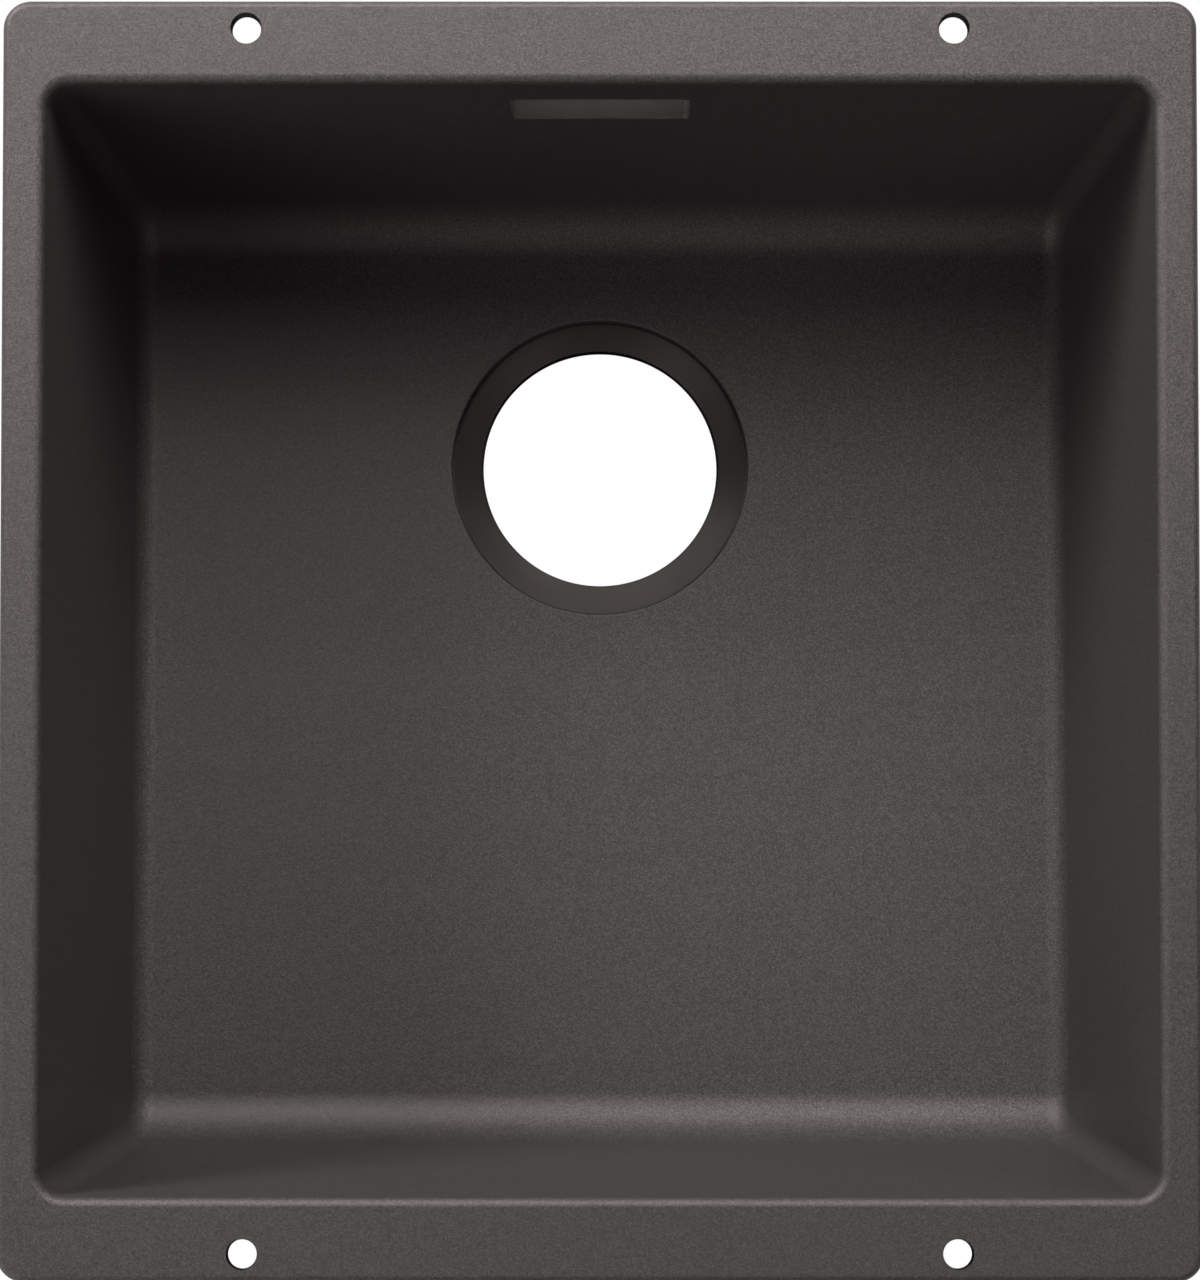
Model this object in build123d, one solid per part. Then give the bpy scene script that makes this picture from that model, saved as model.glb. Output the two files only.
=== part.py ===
from build123d import *
import os
from math import cos, radians, tan

# Undermount kitchen sink of quartz composite, with its rear overflow box.
# X runs across the sink, +Y to the overflow side, +Z up. Z = 0 is the underside. Sizes in mm.

# --- Bowl ---
BOWL_WIDTH = 400.0  # mouth at the rim top, left to right, between the wall planes
BOWL_LENGTH = 400.0  # mouth at the rim top, front to back
BOWL_DEPTH = 190.0  # rim top to the floor beside the drain recess
WALL_DRAFT = 6.5  # degrees that each wall leans in on its way down
WALL_THICKNESS = 8.0
FLOOR_ROUND = 20.0  # front and back walls into the floor
CORNER_ROUND = 9.0  # side walls into the floor, and the four upright corners
MOUTH_ROUND = 4.0  # inner edge of the rim
FLOOR_FALL = 0.8  # degrees that the floor falls from the front wall to the drain
FALL_START = 15.0  # level floor in front of the drain recess before the fall begins
FALL_BLEND = 1500.0  # radius of the bend between level floor and fall

# --- Rim ---
RIM_SIDE = 15.0  # rim land left and right of the mouth
RIM_END = 30.0  # rim land in front of and behind the mouth
RIM_THICKNESS = 8.5
RIM_CORNER = 10.0
RIM_TOP_ROUND = 2.5
RIM_FOOT_BREAK = 1.0
UNDER_RIM_GUSSET = 5.0  # sloped strip between the walls and the rim's underside

# --- Fixing holes in the rim ---
FIXING_SPACING = 255.0  # left to right
FIXING_EDGE = 10.0  # hole axis to the front or back edge of the rim
FIXING_RADIUS = 5.2

# --- Drain ---
DRAIN_SETBACK = 120.6  # drain axis to the back edge of the mouth
DRAIN_RADIUS = 45.0
RECESS_RADIUS = 56.75
RECESS_DEPTH = 7.0
LIP_THICKNESS = 5.0
RECESS_EDGE_BREAK = 0.6
LIP_EDGE_BREAK = 0.6

# --- Overflow slot and the pad behind it ---
SLOT_WIDTH = 65.0
SLOT_HEIGHT = 26.5
SLOT_DROP = 23.5  # rim top to the upper edge of the slot
SLOT_CORNER = 2.0
SLOT_EDGE_BREAK = 0.6
PAD_STANDOFF = 6.5  # pad face behind the back edge of the mouth
PAD_MARGIN = 1.5  # pad beyond the gasket all round
PAD_SLOPE = 45.0  # degrees, lower edge of the pad back to the wall

# --- Overflow box ---
FLANGE_EAR = 13.0  # flange beyond the box, left and right
SEAL_LAND = 6.75  # gasket and flange above and below the slot
FLANGE_THICKNESS = 3.0
FLANGE_CORNER = 6.0
GASKET_THICKNESS = 2.0
WINDOW_MARGIN = 1.0  # gasket and flange window beyond the slot
BOX_SIDE_ROOM = 0.5  # box walls clear of the window, left and right
BOX_DEPTH = 17.0  # flange face to cover seat
BOX_WALL = 2.0
BOX_TOP_MARGIN = 2.0  # below the flange's top edge
BOX_DROP = 4.0  # funnel starts this far below the flange's lower edge
BOX_CORNER = 4.0
FUNNEL_HEIGHT = 9.0
COVER_THICKNESS = 2.0
COVER_LIP = 2.0  # depth of the locating lip
COVER_LIP_WIDTH = 1.6
COVER_CLEARANCE = 0.15

# --- Fasteners ---
SCREW_EDGE = 7.0  # screw axis to the flange's end; one screw each side, at the slot's mid height
SCREW_RADIUS = 2.0
SCREW_BITE = 5.0  # thread inside the insert
SCREW_HEAD_RADIUS = 3.7
SCREW_HEAD_HEIGHT = 2.8
SOCKET_FLATS = 2.5
SOCKET_DEPTH = 1.5
SCREW_CLEARANCE = 0.3
THREAD_CLEARANCE = 0.05
WASHER_RADIUS = 4.3
WASHER_THICKNESS = 0.8
INSERT_WALL = 0.95
INSERT_LENGTH = 6.0
INSERT_GLUE_GAP = 0.05

# --- Outlet and hose tail ---
NECK_RADIUS = 10.2
NECK_WALL = 2.7
NECK_LENGTH = 21.0
SEAL_THICKNESS = 2.0
COLLAR_THICKNESS = 3.0
TAIL_RADIUS = 9.0
TAIL_WALL = 1.6
TAIL_LENGTH = 26.0
THROAT_RELIEF = 0.4  # how much slimmer the tail is where it passes through the nut's lip
THROAT_MARGIN = 1.0  # throat beyond the nut's lip
NUT_WALL = 1.85
NUT_RIB_HEIGHT = 0.6
NUT_RIB_WIDTH = 1.4
NUT_RIBS = 12
NUT_GRIP_LENGTH = 12.0
NUT_LIP = 2.0
NUT_CLEARANCE = 0.15
TAIL_CLEARANCE = 0.15

# --- Worked out from the values above ---
DRAFT_SLOPE = tan(radians(WALL_DRAFT))
SIDE_WALL = WALL_THICKNESS / cos(radians(WALL_DRAFT))
FALL_SLOPE = tan(radians(FLOOR_FALL))
RIM_WIDTH = BOWL_WIDTH + 2 * RIM_SIDE
RIM_LENGTH = BOWL_LENGTH + 2 * RIM_END
SEAT_Z = LIP_THICKNESS
FLOOR_Z = SEAT_Z + RECESS_DEPTH
RIM_TOP_Z = FLOOR_Z + BOWL_DEPTH
RIM_FOOT_Z = RIM_TOP_Z - RIM_THICKNESS
DRAIN_Y = BOWL_LENGTH / 2 - DRAIN_SETBACK
SLOT_Z = RIM_TOP_Z - SLOT_DROP - SLOT_HEIGHT / 2
PAD_Y = BOWL_LENGTH / 2 + PAD_STANDOFF
WINDOW_WIDTH = SLOT_WIDTH + 2 * WINDOW_MARGIN
WINDOW_HEIGHT = SLOT_HEIGHT + 2 * WINDOW_MARGIN
BOX_WIDTH = WINDOW_WIDTH + 2 * BOX_SIDE_ROOM + 2 * BOX_WALL
FLANGE_WIDTH = BOX_WIDTH + 2 * FLANGE_EAR
FLANGE_HEIGHT = SLOT_HEIGHT + 2 * SEAL_LAND
SCREW_SPACING = FLANGE_WIDTH - 2 * SCREW_EDGE
INSERT_BORE = SCREW_RADIUS + THREAD_CLEARANCE
INSERT_RADIUS = INSERT_BORE + INSERT_WALL
FLANGE_Y = PAD_Y + GASKET_THICKNESS
FLANGE_BACK_Y = FLANGE_Y + FLANGE_THICKNESS
COVER_Y = FLANGE_Y + BOX_DEPTH
FLANGE_FOOT_Z = SLOT_Z - FLANGE_HEIGHT / 2
BOX_TOP_Z = SLOT_Z + FLANGE_HEIGHT / 2 - BOX_TOP_MARGIN
FUNNEL_TOP_Z = FLANGE_FOOT_Z - BOX_DROP + FUNNEL_HEIGHT
NECK_TOP_Z = FUNNEL_TOP_Z - FUNNEL_HEIGHT
NECK_END_Z = NECK_TOP_Z - NECK_LENGTH
OUTLET_Y = FLANGE_Y + BOX_DEPTH / 2
COLLAR_TOP_Z = NECK_END_Z - SEAL_THICKNESS
COLLAR_FOOT_Z = COLLAR_TOP_Z - COLLAR_THICKNESS
TAIL_END_Z = COLLAR_FOOT_Z - TAIL_LENGTH
REACH = 2 * max(RIM_WIDTH, RIM_LENGTH, RIM_TOP_Z)  # longer than any cut through the sink
NEAR = 1e-3  # tolerance when an edge is picked by its place


def leaning_prism(half_length, bottom, plane, half_depth):
    """A prism along the plane's normal whose two sides lean in by the wall draft."""
    inset = (RIM_TOP_Z - bottom) * DRAFT_SLOPE
    outline = Polyline(
        (-half_length, RIM_TOP_Z),
        (-half_length + inset, bottom),
        (half_length - inset, bottom),
        (half_length, RIM_TOP_Z),
        close=True,
    )
    return extrude(plane * make_face(outline), amount=half_depth, both=True)


def round_seams(tub, radius, faces):
    """Round every edge of these faces that lies below the rim top."""
    seams = [edge for face in faces for edge in face.edges() if edge.center().Z < RIM_TOP_Z - NEAR]
    return fillet(seams, radius)


def make_outer_tub():
    """The outside of the bowl: drafted walls on a flat underside, one radius all round."""
    half_width = BOWL_WIDTH / 2 + SIDE_WALL
    half_length = BOWL_LENGTH / 2 + SIDE_WALL
    ends = leaning_prism(half_length, 0, Plane.YZ, half_width)
    tub = ends & leaning_prism(half_width, 0, Plane.XZ, half_length)
    walls = tub.faces().sort_by(Axis.Z)[1:-1]
    return round_seams(tub, CORNER_ROUND + WALL_THICKNESS, walls)


def floor_outline():
    """The bowl's inside from the side: level round the drain, then rising gently to the front wall."""
    half_length = BOWL_LENGTH / 2
    fall_y = DRAIN_Y - RECESS_RADIUS - FALL_START
    back_y = half_length - BOWL_DEPTH * DRAFT_SLOPE
    slopes = FALL_SLOPE * DRAFT_SLOPE
    front_y = (BOWL_DEPTH * DRAFT_SLOPE - half_length - fall_y * slopes) / (1 - slopes)
    front_z = FLOOR_Z + (fall_y - front_y) * FALL_SLOPE
    outline = make_face(
        Polyline(
            (-half_length, RIM_TOP_Z),
            (front_y, front_z),
            (fall_y, FLOOR_Z),
            (back_y, FLOOR_Z),
            (half_length, RIM_TOP_Z),
            close=True,
        )
    )
    front, bend, back = outline.vertices().sort_by(Axis.X)[1:4]
    outline = fillet([front, back], FLOOR_ROUND)
    bend = outline.vertices().sort_by_distance(Vector(bend))[0]
    return fillet(bend, FALL_BLEND)


def make_cavity():
    """The room inside the bowl."""
    half_width = BOWL_WIDTH / 2
    ends = extrude(Plane.YZ * floor_outline(), amount=half_width, both=True)
    cavity = ends & leaning_prism(half_width, 0, Plane.XZ, BOWL_LENGTH / 2)
    sides = cavity.faces().sort_by(Axis.X)
    return round_seams(cavity, CORNER_ROUND, (sides[0], sides[-1]))


def make_pad():
    """The flat land behind the slot that the overflow gasket seals on."""
    width = FLANGE_WIDTH + 2 * PAD_MARGIN
    height = FLANGE_HEIGHT + 2 * PAD_MARGIN
    root_y = BOWL_LENGTH / 2
    front = Plane.XZ.offset(-PAD_Y) * Pos(0, SLOT_Z) * RectangleRounded(width, height, FLANGE_CORNER)
    pad = extrude(front, amount=PAD_Y - root_y)
    depth = PAD_Y - root_y
    slope = depth * tan(radians(PAD_SLOPE))
    foot_z = SLOT_Z - height / 2
    skirt = Plane.YZ * make_face(
        Polyline((root_y, foot_z + FLANGE_CORNER), (root_y, foot_z - slope), (PAD_Y, foot_z), close=True)
    )
    return pad + extrude(skirt, amount=width / 2 - FLANGE_CORNER, both=True)


def make_basin():
    shell = make_outer_tub()
    rim = Pos(0, 0, RIM_FOOT_Z) * extrude(
        RectangleRounded(RIM_WIDTH, RIM_LENGTH, RIM_CORNER), amount=RIM_THICKNESS
    )
    rim = fillet(rim.edges().group_by(Axis.Z)[-1], RIM_TOP_ROUND)
    rim = chamfer(rim.edges().group_by(Axis.Z)[0], RIM_FOOT_BREAK)
    shell = shell + rim
    shell = chamfer(bowl_edges(shell, RIM_FOOT_Z, SIDE_WALL), UNDER_RIM_GUSSET)
    shell = shell + make_pad()
    basin = shell - make_cavity()
    basin = fillet(bowl_edges(basin, RIM_TOP_Z, NEAR), MOUTH_ROUND)
    basin = cut_drain(basin)
    basin = cut_slot(basin)
    for x, y in fixing_places():
        basin = basin - Pos(x, y, RIM_FOOT_Z) * up_cylinder(FIXING_RADIUS, RIM_THICKNESS)
    insert_hole = INSERT_RADIUS + INSERT_GLUE_GAP
    for x, z in screw_places():
        basin = basin - along_back(x, z, PAD_Y - INSERT_LENGTH, insert_hole, INSERT_LENGTH)
    return basin


def bowl_edges(solid, height, outset):
    """The edges at this height that run round the bowl, no further out than outset beyond the mouth."""
    return [
        edge
        for edge in solid.edges()
        if abs(edge.center().Z - height) < NEAR
        and abs(edge.center().X) < BOWL_WIDTH / 2 + outset
        and abs(edge.center().Y) < BOWL_LENGTH / 2 + outset
    ]


def cut_drain(basin):
    """Flat-bottomed recess for a strainer flange, and the hole through its lip."""
    recess = Pos(0, DRAIN_Y, SEAT_Z) * up_cylinder(RECESS_RADIUS, REACH / 2)
    hole = Pos(0, DRAIN_Y, 0) * up_cylinder(DRAIN_RADIUS, REACH / 2)
    basin = basin - recess - hole
    recess_edge = [edge for edge in basin.edges() if is_ring(edge, RECESS_RADIUS, FLOOR_Z)]
    basin = chamfer(recess_edge, RECESS_EDGE_BREAK)
    lip_edge = [edge for edge in basin.edges() if is_ring(edge, DRAIN_RADIUS, SEAT_Z)]
    return chamfer(lip_edge, LIP_EDGE_BREAK)


def cut_slot(basin):
    """Overflow slot straight through the back wall and the pad, with its inner edge broken."""
    front = Plane.XZ.offset(-PAD_Y) * Pos(0, SLOT_Z) * RectangleRounded(SLOT_WIDTH, SLOT_HEIGHT, SLOT_CORNER)
    basin = basin - extrude(front, amount=PAD_Y)
    inner_edge = [edge for edge in basin.edges() if is_slot_mouth(edge)]
    return chamfer(inner_edge, SLOT_EDGE_BREAK)


def is_slot_mouth(edge):
    """True for the slot's edges that lie in the inner face of the back wall."""
    middle = edge.center()
    wall_y = BOWL_LENGTH / 2 - (RIM_TOP_Z - middle.Z) * DRAFT_SLOPE
    return (
        abs(middle.Y - wall_y) < NEAR
        and abs(middle.X) < SLOT_WIDTH / 2 + NEAR
        and abs(middle.Z - SLOT_Z) < SLOT_HEIGHT / 2 + NEAR
    )


def up_cylinder(radius, height):
    return Cylinder(radius, height, align=(Align.CENTER, Align.CENTER, Align.MIN))


def along_back(x, z, start_y, radius, length):
    """A cylinder that runs towards +Y from start_y."""
    return Pos(x, start_y, z) * Rot(-90, 0, 0) * up_cylinder(radius, length)


def is_ring(edge, radius, height):
    """True for a full circle round the drain axis at this radius and height."""
    return (
        edge.geom_type == GeomType.CIRCLE
        and abs(edge.radius - radius) < NEAR
        and abs(edge.center().Z - height) < NEAR
        and abs(edge.arc_center.Y - DRAIN_Y) < NEAR
    )


def fixing_places():
    half_y = RIM_LENGTH / 2 - FIXING_EDGE
    return [(x, y) for x in (-FIXING_SPACING / 2, FIXING_SPACING / 2) for y in (-half_y, half_y)]


def screw_places():
    return [(-SCREW_SPACING / 2, SLOT_Z), (SCREW_SPACING / 2, SLOT_Z)]


def overflow_window():
    """The opening in the gasket and the flange, a little larger than the slot."""
    return Pos(0, SLOT_Z) * RectangleRounded(WINDOW_WIDTH, WINDOW_HEIGHT, SLOT_CORNER + WINDOW_MARGIN)


def flange_sheet(thickness, start_y):
    """A plate of the flange's outline, with the overflow window and the screw holes."""
    outline = Pos(0, SLOT_Z) * RectangleRounded(FLANGE_WIDTH, FLANGE_HEIGHT, FLANGE_CORNER)
    sheet = extrude(Plane.XZ.offset(-start_y) * (outline - overflow_window()), amount=-thickness)
    for x, z in screw_places():
        sheet = sheet - along_back(x, z, start_y - 1, SCREW_RADIUS + SCREW_CLEARANCE, thickness + 2)
    return sheet


def box_outline(inset):
    """The box seen from behind: upright sides, then a funnel down to the neck."""
    half = BOX_WIDTH / 2
    outline = make_face(
        Polyline(
            (-half, BOX_TOP_Z),
            (-half, FUNNEL_TOP_Z),
            (-NECK_RADIUS, NECK_TOP_Z),
            (NECK_RADIUS, NECK_TOP_Z),
            (half, FUNNEL_TOP_Z),
            (half, BOX_TOP_Z),
            close=True,
        )
    )
    outline = fillet(outline.vertices().group_by(Axis.Y)[-1], BOX_CORNER)
    return offset(outline, amount=-inset, kind=Kind.INTERSECTION) if inset else outline


def make_overflow_box():
    shell = extrude(Plane.XZ.offset(-FLANGE_Y) * box_outline(0), amount=-BOX_DEPTH)
    neck = Pos(0, OUTLET_Y, NECK_END_Z) * up_cylinder(NECK_RADIUS, NECK_LENGTH)
    room = extrude(Plane.XZ.offset(-FLANGE_Y - BOX_WALL) * box_outline(BOX_WALL), amount=-BOX_DEPTH)
    bore = Pos(0, OUTLET_Y, NECK_END_Z) * up_cylinder(NECK_RADIUS - NECK_WALL, NECK_LENGTH + BOX_WALL)
    window = extrude(Plane.XZ.offset(-FLANGE_Y) * overflow_window(), amount=-FLANGE_THICKNESS)
    return shell + neck + flange_sheet(FLANGE_THICKNESS, FLANGE_Y) - window - room - bore


def make_cover():
    """Rear lid of the box, with a lip that drops inside the box walls."""
    plate = extrude(Plane.XZ.offset(-COVER_Y) * box_outline(0), amount=-COVER_THICKNESS)
    fit = BOX_WALL + COVER_CLEARANCE
    ring = box_outline(fit) - box_outline(fit + COVER_LIP_WIDTH)
    lip = extrude(Plane.XZ.offset(-COVER_Y) * ring, amount=COVER_LIP)
    return plate + lip


def make_inserts():
    """Threaded sleeves bonded into the pad."""
    sleeves = []
    for x, z in screw_places():
        start = PAD_Y - INSERT_LENGTH
        sleeve = along_back(x, z, start, INSERT_RADIUS, INSERT_LENGTH)
        bore = along_back(x, z, start - 1, INSERT_BORE, INSERT_LENGTH + 2)
        sleeves.append(sleeve - bore)
    return Compound(sleeves)


def make_washers():
    washers = []
    for x, z in screw_places():
        disc = along_back(x, z, FLANGE_BACK_Y, WASHER_RADIUS, WASHER_THICKNESS)
        hole = along_back(x, z, FLANGE_BACK_Y - 1, SCREW_RADIUS + SCREW_CLEARANCE, WASHER_THICKNESS + 2)
        washers.append(disc - hole)
    return Compound(washers)


def make_screws():
    """Low cylinder-head screws with a hexagon socket, driven from behind."""
    seat_y = FLANGE_BACK_Y + WASHER_THICKNESS
    tip_y = PAD_Y - SCREW_BITE
    screws = []
    for x, z in screw_places():
        shank = along_back(x, z, tip_y, SCREW_RADIUS, seat_y - tip_y)
        head = along_back(x, z, seat_y, SCREW_HEAD_RADIUS, SCREW_HEAD_HEIGHT)
        mouth = Plane.XZ.offset(-seat_y - SCREW_HEAD_HEIGHT) * Pos(x, z)
        socket = extrude(mouth * RegularPolygon(SOCKET_FLATS / 2, 6, major_radius=False), amount=SOCKET_DEPTH)
        screws.append(shank + head - socket)
    return Compound(screws)


def make_outlet_seal():
    seal = up_cylinder(NECK_RADIUS, SEAL_THICKNESS) - up_cylinder(NECK_RADIUS - NECK_WALL, SEAL_THICKNESS)
    return Pos(0, OUTLET_Y, COLLAR_TOP_Z) * seal


def make_hose_tail():
    """Collared spigot that a hose is pushed over."""
    spigot = up_cylinder(TAIL_RADIUS, TAIL_LENGTH - NUT_LIP - THROAT_MARGIN)
    throat = up_cylinder(TAIL_RADIUS - THROAT_RELIEF, TAIL_LENGTH)
    collar = Pos(0, 0, TAIL_LENGTH) * up_cylinder(NECK_RADIUS, COLLAR_THICKNESS)
    tail = spigot + throat + collar - up_cylinder(TAIL_RADIUS - TAIL_WALL, TAIL_LENGTH + COLLAR_THICKNESS)
    return Pos(0, OUTLET_Y, TAIL_END_Z) * tail


def make_union_nut():
    """Ribbed nut whose inner lip carries the tail's collar."""
    length = NUT_LIP + COLLAR_THICKNESS + SEAL_THICKNESS + NUT_GRIP_LENGTH
    thread_radius = NECK_RADIUS + NUT_CLEARANCE
    body = up_cylinder(thread_radius + NUT_WALL, length)
    rib = Box(2 * NUT_RIB_HEIGHT, NUT_RIB_WIDTH, length, align=(Align.CENTER, Align.CENTER, Align.MIN))
    for place in PolarLocations(thread_radius + NUT_WALL, NUT_RIBS):
        body = body + place * rib
    thread = Pos(0, 0, NUT_LIP) * up_cylinder(thread_radius, length)
    hole = up_cylinder(TAIL_RADIUS + TAIL_CLEARANCE, length)
    return Pos(0, OUTLET_Y, COLLAR_FOOT_Z - NUT_LIP) * (body - thread - hole)


def build_parts():
    return {
        "basin": make_basin(),
        "threaded_inserts": make_inserts(),
        "overflow_gasket": flange_sheet(GASKET_THICKNESS, PAD_Y),
        "overflow_box": make_overflow_box(),
        "overflow_box_cover": make_cover(),
        "flange_washers": make_washers(),
        "flange_screws": make_screws(),
        "outlet_seal": make_outlet_seal(),
        "hose_tail": make_hose_tail(),
        "union_nut": make_union_nut(),
    }


os.makedirs("parts", exist_ok=True)
for name, shape in build_parts().items():
    export_step(shape, f"parts/{name}.step")
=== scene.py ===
import math
from contextlib import contextmanager

import bmesh
import bpy
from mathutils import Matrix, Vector


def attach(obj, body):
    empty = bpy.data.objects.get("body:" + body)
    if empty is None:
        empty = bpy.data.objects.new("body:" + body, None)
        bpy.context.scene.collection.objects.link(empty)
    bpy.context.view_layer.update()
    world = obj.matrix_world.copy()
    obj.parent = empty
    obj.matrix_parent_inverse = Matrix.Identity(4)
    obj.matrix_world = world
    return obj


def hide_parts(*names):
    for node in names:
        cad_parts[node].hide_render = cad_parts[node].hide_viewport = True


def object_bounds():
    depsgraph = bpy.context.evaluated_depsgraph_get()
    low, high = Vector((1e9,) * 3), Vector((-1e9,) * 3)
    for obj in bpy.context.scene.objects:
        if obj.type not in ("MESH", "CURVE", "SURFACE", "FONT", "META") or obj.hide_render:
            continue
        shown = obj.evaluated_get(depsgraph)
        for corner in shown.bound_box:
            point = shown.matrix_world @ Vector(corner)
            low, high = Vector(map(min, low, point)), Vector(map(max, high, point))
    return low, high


bl_info = {
    "name": "Undermount Sink Dressing",
    "version": (1, 0, 0),
    "blender": (4, 5, 0),
    "location": "3D View > Sidebar > Sink",
    "description": "Builds the looks of an undermount composite sink round its packed CAD model",
    "category": "Object",
}

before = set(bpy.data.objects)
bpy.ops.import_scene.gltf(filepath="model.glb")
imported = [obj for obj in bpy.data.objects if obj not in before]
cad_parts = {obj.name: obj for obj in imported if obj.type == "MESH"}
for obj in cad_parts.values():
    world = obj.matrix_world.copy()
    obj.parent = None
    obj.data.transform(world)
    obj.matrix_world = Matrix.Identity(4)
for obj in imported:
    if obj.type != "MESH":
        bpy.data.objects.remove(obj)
CAD_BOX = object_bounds()
SINK_SIZE = CAD_BOX[1] - CAD_BOX[0]
MM = 0.001
SAME_PLACE = MM / 50  # places this close count as one
ON_FACE = MM / 10  # an edge or corner this close to a face belongs to it
OVERRUN = 10 * MM  # how far a large cutting tool runs past the face that it cuts
FULL_TURN = 2 * math.pi
SMOOTH_ANGLE = math.radians(35)  # edges sharper than this stay crisp
UP = Vector((0, 0, 1))
BACKWARD = Vector((0, 1, 0))


def size(name, description, millimetres):
    """A length property, stored in metres and given in millimetres here."""
    return bpy.props.FloatProperty(
        name=name, description=description, default=millimetres * MM,
        subtype="DISTANCE", unit="LENGTH", precision=5,
    )


def angle(name, description, degrees):
    """An angle property, stored in radians and given in degrees here."""
    return bpy.props.FloatProperty(
        name=name, description=description, default=math.radians(degrees), subtype="ANGLE"
    )


def amount(name, description, value, **limits):
    """A plain number, with min and max where it has them."""
    return bpy.props.FloatProperty(name=name, description=description, default=value, **limits)


def colour(name, description, value):
    return bpy.props.FloatVectorProperty(
        name=name, description=description, default=value, size=3, subtype="COLOR", min=0, max=1
    )


class BasinSizes(bpy.types.PropertyGroup):
    bowl_width: size("Bowl width", "Mouth between the wall planes, left to right", 400)
    bowl_length: size("Bowl length", "Mouth between the wall planes, front to back", 400)
    bowl_depth: size("Bowl depth", "Rim top to the floor beside the drain", 190)
    wall_draft: angle("Wall draft", "How far each wall leans in", 6.5)
    wall: size("Wall", "Thickness of the bowl's walls", 8)
    floor_round: size("Floor round", "Front and back walls into the floor", 20)
    corner_round: size("Corner round", "Side walls into the floor, and the upright corners", 9)
    mouth_round: size("Mouth round", "Inner edge of the rim", 4)
    floor_fall: angle("Floor fall", "Fall of the floor from the front wall", 0.8)
    fall_start: size("Fall start", "Level floor in front of the drain recess", 15)
    fall_bend: size("Fall bend", "Reach of the soft bend on each side of the fall's start", 10.5)
    rim: size("Rim", "Thickness of the rim", 8.5)
    rim_corner: size("Rim corner", "Outer corners of the rim, seen from above", 10)
    rim_round: size("Rim round", "Upper outer edge of the rim", 2.5)
    rim_foot: size("Rim foot", "Lower outer edge of the rim", 1)
    gusset: size("Gusset", "Sloped strip under the rim", 5)
    drain_setback: size("Drain setback", "Drain axis to the back edge of the mouth", 120.6)
    drain_radius: size("Drain radius", "Hole for the strainer, at its foot", 45.05)
    recess_radius: size("Recess radius", "Recess for the strainer's flange", 56.75)
    recess_depth: size("Recess depth", "Floor to the seat of the strainer", 7)
    lip: size("Lip", "Thickness of the drain's lip", 5)
    recess_edge: size("Recess edge", "Rounding of the recess's upper edge", 0.9)
    seat_groove: size("Seat groove", "Relief groove round the seat, as wide as it is deep", 0.5)
    lip_taper: size("Lip taper", "How much wider the drain hole is at the top than at the foot", 0.4)
    lip_edge: size("Lip edge", "Rounding of the drain hole's upper edge", 0.4)
    slot_width: size("Slot width", "Overflow slot, left to right", 65)
    slot_height: size("Slot height", "Overflow slot, top to bottom", 26.5)
    slot_drop: size("Slot drop", "Rim top to the slot's upper edge", 23.5)
    slot_corner: size("Slot corner", "Corners of the overflow slot", 2)
    slot_edge: size("Slot edge", "Rounding of the slot's inner edge", 0.6)
    pad_standoff: size("Pad standoff", "Pad's face behind the back edge of the mouth", 6.5)
    pad_width: size("Pad width", "Pad behind the slot, left to right", 101)
    pad_height: size("Pad height", "Pad behind the slot, top to bottom", 43)
    pad_corner: size("Pad corner", "Corners of the pad", 6)
    fixing_spacing: size("Fixing spacing", "Fixing holes, left to right", 255)
    fixing_edge: size("Fixing edge", "Fixing hole's axis to the rim's front or back edge", 10)
    fixing_radius: size("Fixing radius", "Fixing hole at the rim's foot", 5.2)
    fixing_mouth: size("Fixing mouth", "Fixing hole's radius at the rim's top", 5.65)
    fixing_lead: size("Fixing lead", "Depth of the fixing hole's lead-in", 4)
    insert_spacing: size("Insert spacing", "Threaded inserts in the pad, left to right", 84)
    insert_bore: size("Insert bore", "Hole for a threaded insert", 3.05)
    insert_depth: size("Insert depth", "Depth of the hole for a threaded insert", 6)


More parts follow.
